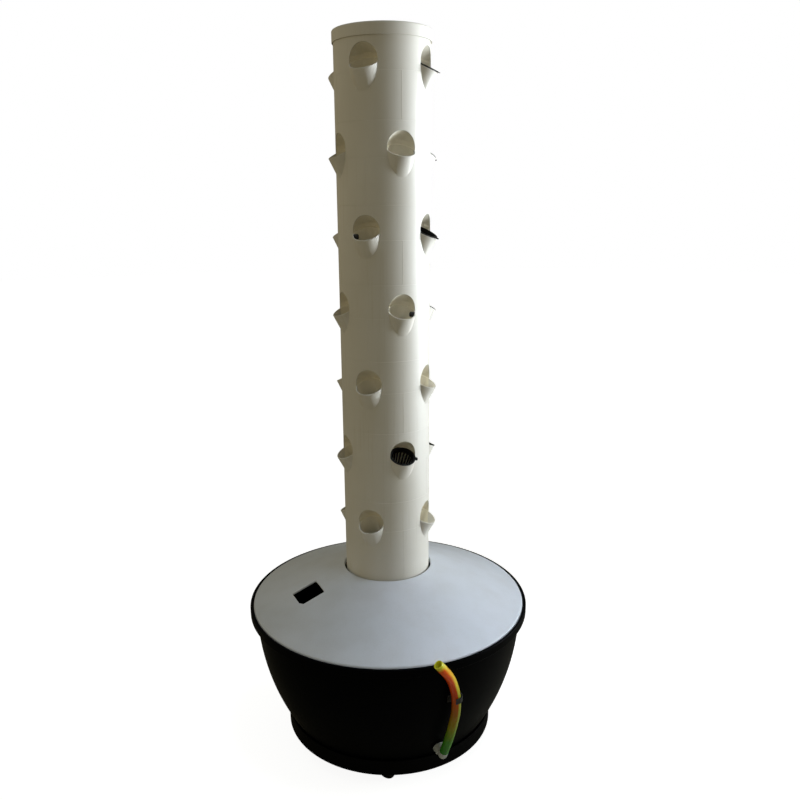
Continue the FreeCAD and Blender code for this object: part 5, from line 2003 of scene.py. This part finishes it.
@dataclass
class Casters:
    """Swivel casters: fork, pin and wheel. Each turn is the angle of one caster's trail."""

    dish: Dish
    turns: tuple[float, ...] = (70.0, 10.0, -35.0, 160.0)
    wheel_radius: float = 21.0
    wheel_width: float = 16.0
    wheel_segments: int = 64
    shoulder_round: float = 3.0
    groove: float = 0.8
    groove_half: float = 1.2
    groove_round: float = 0.4
    groove_edge: float = 0.2
    trail: float = 17.0
    clearance: float = 0.6
    hub_radius: float = 7.0
    hub_round: float = 0.8
    tread: float = 4.0
    tread_round: float = 0.6
    web: float = 5.0
    web_round: float = 1.0
    web_holes: int = 6
    web_hole_radius: float = 2.2
    web_hole_segments: int = 14
    bore: float = 3.06
    bore_round: float = 0.5
    plate: float = 2.6
    crown: float = 3.5
    crown_radius: float = 15.0
    crown_top: float = 48.5
    crown_round: float = 0.8
    crown_shy: float = 0.2
    crown_segments: int = 48
    eye: float = 6.5
    eye_arc_step: int = 20
    edge_ease: float = 0.5
    stem_radius: float = 4.0
    stem_length: float = 10.3
    stem_round: float = 0.6
    pin_radius: float = 3.0
    pin_head: float = 4.5
    pin_head_height: float = 1.6
    pin_round: float = 0.8
    pin_segments: int = 36
    pin_hole_segments: int = 32
    drill_over: float = 2.0

    def axle(self) -> Matrix:
        """Place of the wheel's centre about the stem, with Z along the pin."""
        return shift(self.trail, 0.0, self.wheel_radius) @ turn(90.0, "X")

    def wheel(self, paint: bpy.types.Material) -> bpy.types.Mesh:
        """Wheel about the stem's axis, trailing towards +X, with holes in its web.

        Args:
            paint: Its material.

        Returns:
            The mesh.
        """
        half = self.wheel_width / 2.0
        web = self.web / 2.0
        hub = self.hub_radius
        radius = self.wheel_radius
        inner = radius - self.tread
        lower = [
            (self.bore, -half, self.bore_round), (hub, -half, self.hub_round),
            (hub, -web, self.web_round), (inner, -web, self.web_round),
            (inner, -half, self.tread_round), (radius, -half, self.shoulder_round),
            (radius, -self.groove_half, self.groove_edge)]
        upper = [(r, -z, ease) for r, z, ease in reversed(lower)]
        outline = lower + [(radius - self.groove, 0.0, self.groove_round)] + upper
        body = lathe(rounded(outline, 4), self.wheel_segments, "wheel")
        hole = slab(circle(self.web_hole_radius, self.web_hole_segments), -half, half, "web_hole")
        body = ringed(body, hole, self.web_holes, Pattern.CUT, paint, (inner + hub) / 2.0)
        return moved(body, self.axle())

    def fork(self) -> bpy.types.Mesh:
        """Fork with its stem, two legs and the bridge that joins them.

        Returns:
            The mesh about the stem's axis.
        """
        inside = self.wheel_width / 2.0 + self.clearance
        width = inside + self.plate
        low, top = self.crown_top - self.crown, self.crown_top - self.crown_shy
        tip = self.crown_top + self.stem_length
        reach = math.sqrt(self.crown_radius ** 2 - inside ** 2)
        body = lathe(rounded([
            (0.0, low), (self.crown_radius, low, self.crown_round),
            (self.crown_radius, self.crown_top, self.crown_round), (self.stem_radius, self.crown_top),
            (self.stem_radius, tip, self.stem_round), (0.0, tip)], 4), self.crown_segments, "fork")
        arc = [(self.trail + self.eye * math.cos(bend), self.wheel_radius + self.eye * math.sin(bend))
               for bend in map(math.radians, range(0, -181, -self.eye_arc_step))]
        for start in (inside, -width):
            leg = slab([(-reach, top), (reach, top)] + arc, -start - self.plate, -start, "leg")
            body = combined(body, moved(eased(leg, self.edge_ease), turn(90.0, "X")), Join.WELD)
        bridge = slab([(-reach, -width), (reach, -width), (reach, width), (-reach, width)],
                      low, top, "bridge")
        body = combined(body, eased(bridge, self.edge_ease), Join.WELD)
        drill = slab(circle(self.pin_radius, self.pin_hole_segments), -width - self.drill_over,
                     width + self.drill_over, "pin_hole")
        return combined(body, moved(drill, self.axle()), Join.CUT)

    def pin(self) -> bpy.types.Mesh:
        """Pin with a head at each end.

        Returns:
            The mesh about the stem's axis.
        """
        half = self.wheel_width / 2.0 + self.clearance + self.plate
        end = half + self.pin_head_height
        body = lathe(rounded([
            (0.0, -end), (self.pin_head, -end, self.pin_round), (self.pin_head, -half),
            (self.pin_radius, -half), (self.pin_radius, half), (self.pin_head, half),
            (self.pin_head, end, self.pin_round), (0.0, end)], 4), self.pin_segments, "pin")
        return moved(body, self.axle())

    def build(self) -> None:
        """Builds the four casters."""
        black, tyre, steel = DISH_BLACK.material(), WHEEL_BLACK.material(), PIN_STEEL.material()
        kinds = ((self.fork(), "fork", black, "caster", "dish_plastic"),
                 (self.pin(), "axle", steel, "caster", "steel"),
                 (self.wheel(tyre), "wheel", tyre, "wheel", "wheel_plastic"))
        for number, swivel in enumerate(self.turns, start=1):
            angle = self.dish.first_angle + (number - 1) * 360.0 / self.dish.count
            place = turn(angle) @ shift(self.dish.ring, 0.0, 0.0) @ turn(swivel)
            for mesh, name, paint, body, slot in kinds:
                fitted(moved(mesh, place), "caster_%s_dressed_%d" % (name, number), paint,
                       "%s_%d" % (body, number), slot, "caster_%s_%d" % (name, number))


@dataclass
class Waterworks:
    """Stand, water pipe and pump inside the tank."""

    finishes: dict[str, Moulding] = field(default_factory=lambda: {
        "column_stand": COLUMN_WHITE, "riser_pipe": PIPE_WHITE, "pump_body": PUMP_BLACK,
        "pump_cover": PUMP_BLACK, "pump_shaft": PIN_STEEL, "pump_impeller": ROTOR_WHITE,
        "pump_outlet": PUMP_BLACK, "pump_feet": SOFT_RUBBER, "pump_gland": SOFT_RUBBER})

    def build(self) -> None:
        """Finishes the pieces that the frame already shapes."""
        for node, finish in self.finishes.items():
            painted(node, finish.material())


def main() -> None:
    """Builds the tower."""
    logging.basicConfig(level=logging.INFO, format="%(name)s: %(message)s")
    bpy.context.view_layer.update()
    hose, column, dish = LevelHose(), Column(), Dish()
    for assembly in (Studio(), hose, column, PocketBungs(column), NetCups(column), ColumnTop(),
                     Tank(hose), dish, Casters(dish), Waterworks()):
        assembly.build()


if __name__ == "__main__":
    main()
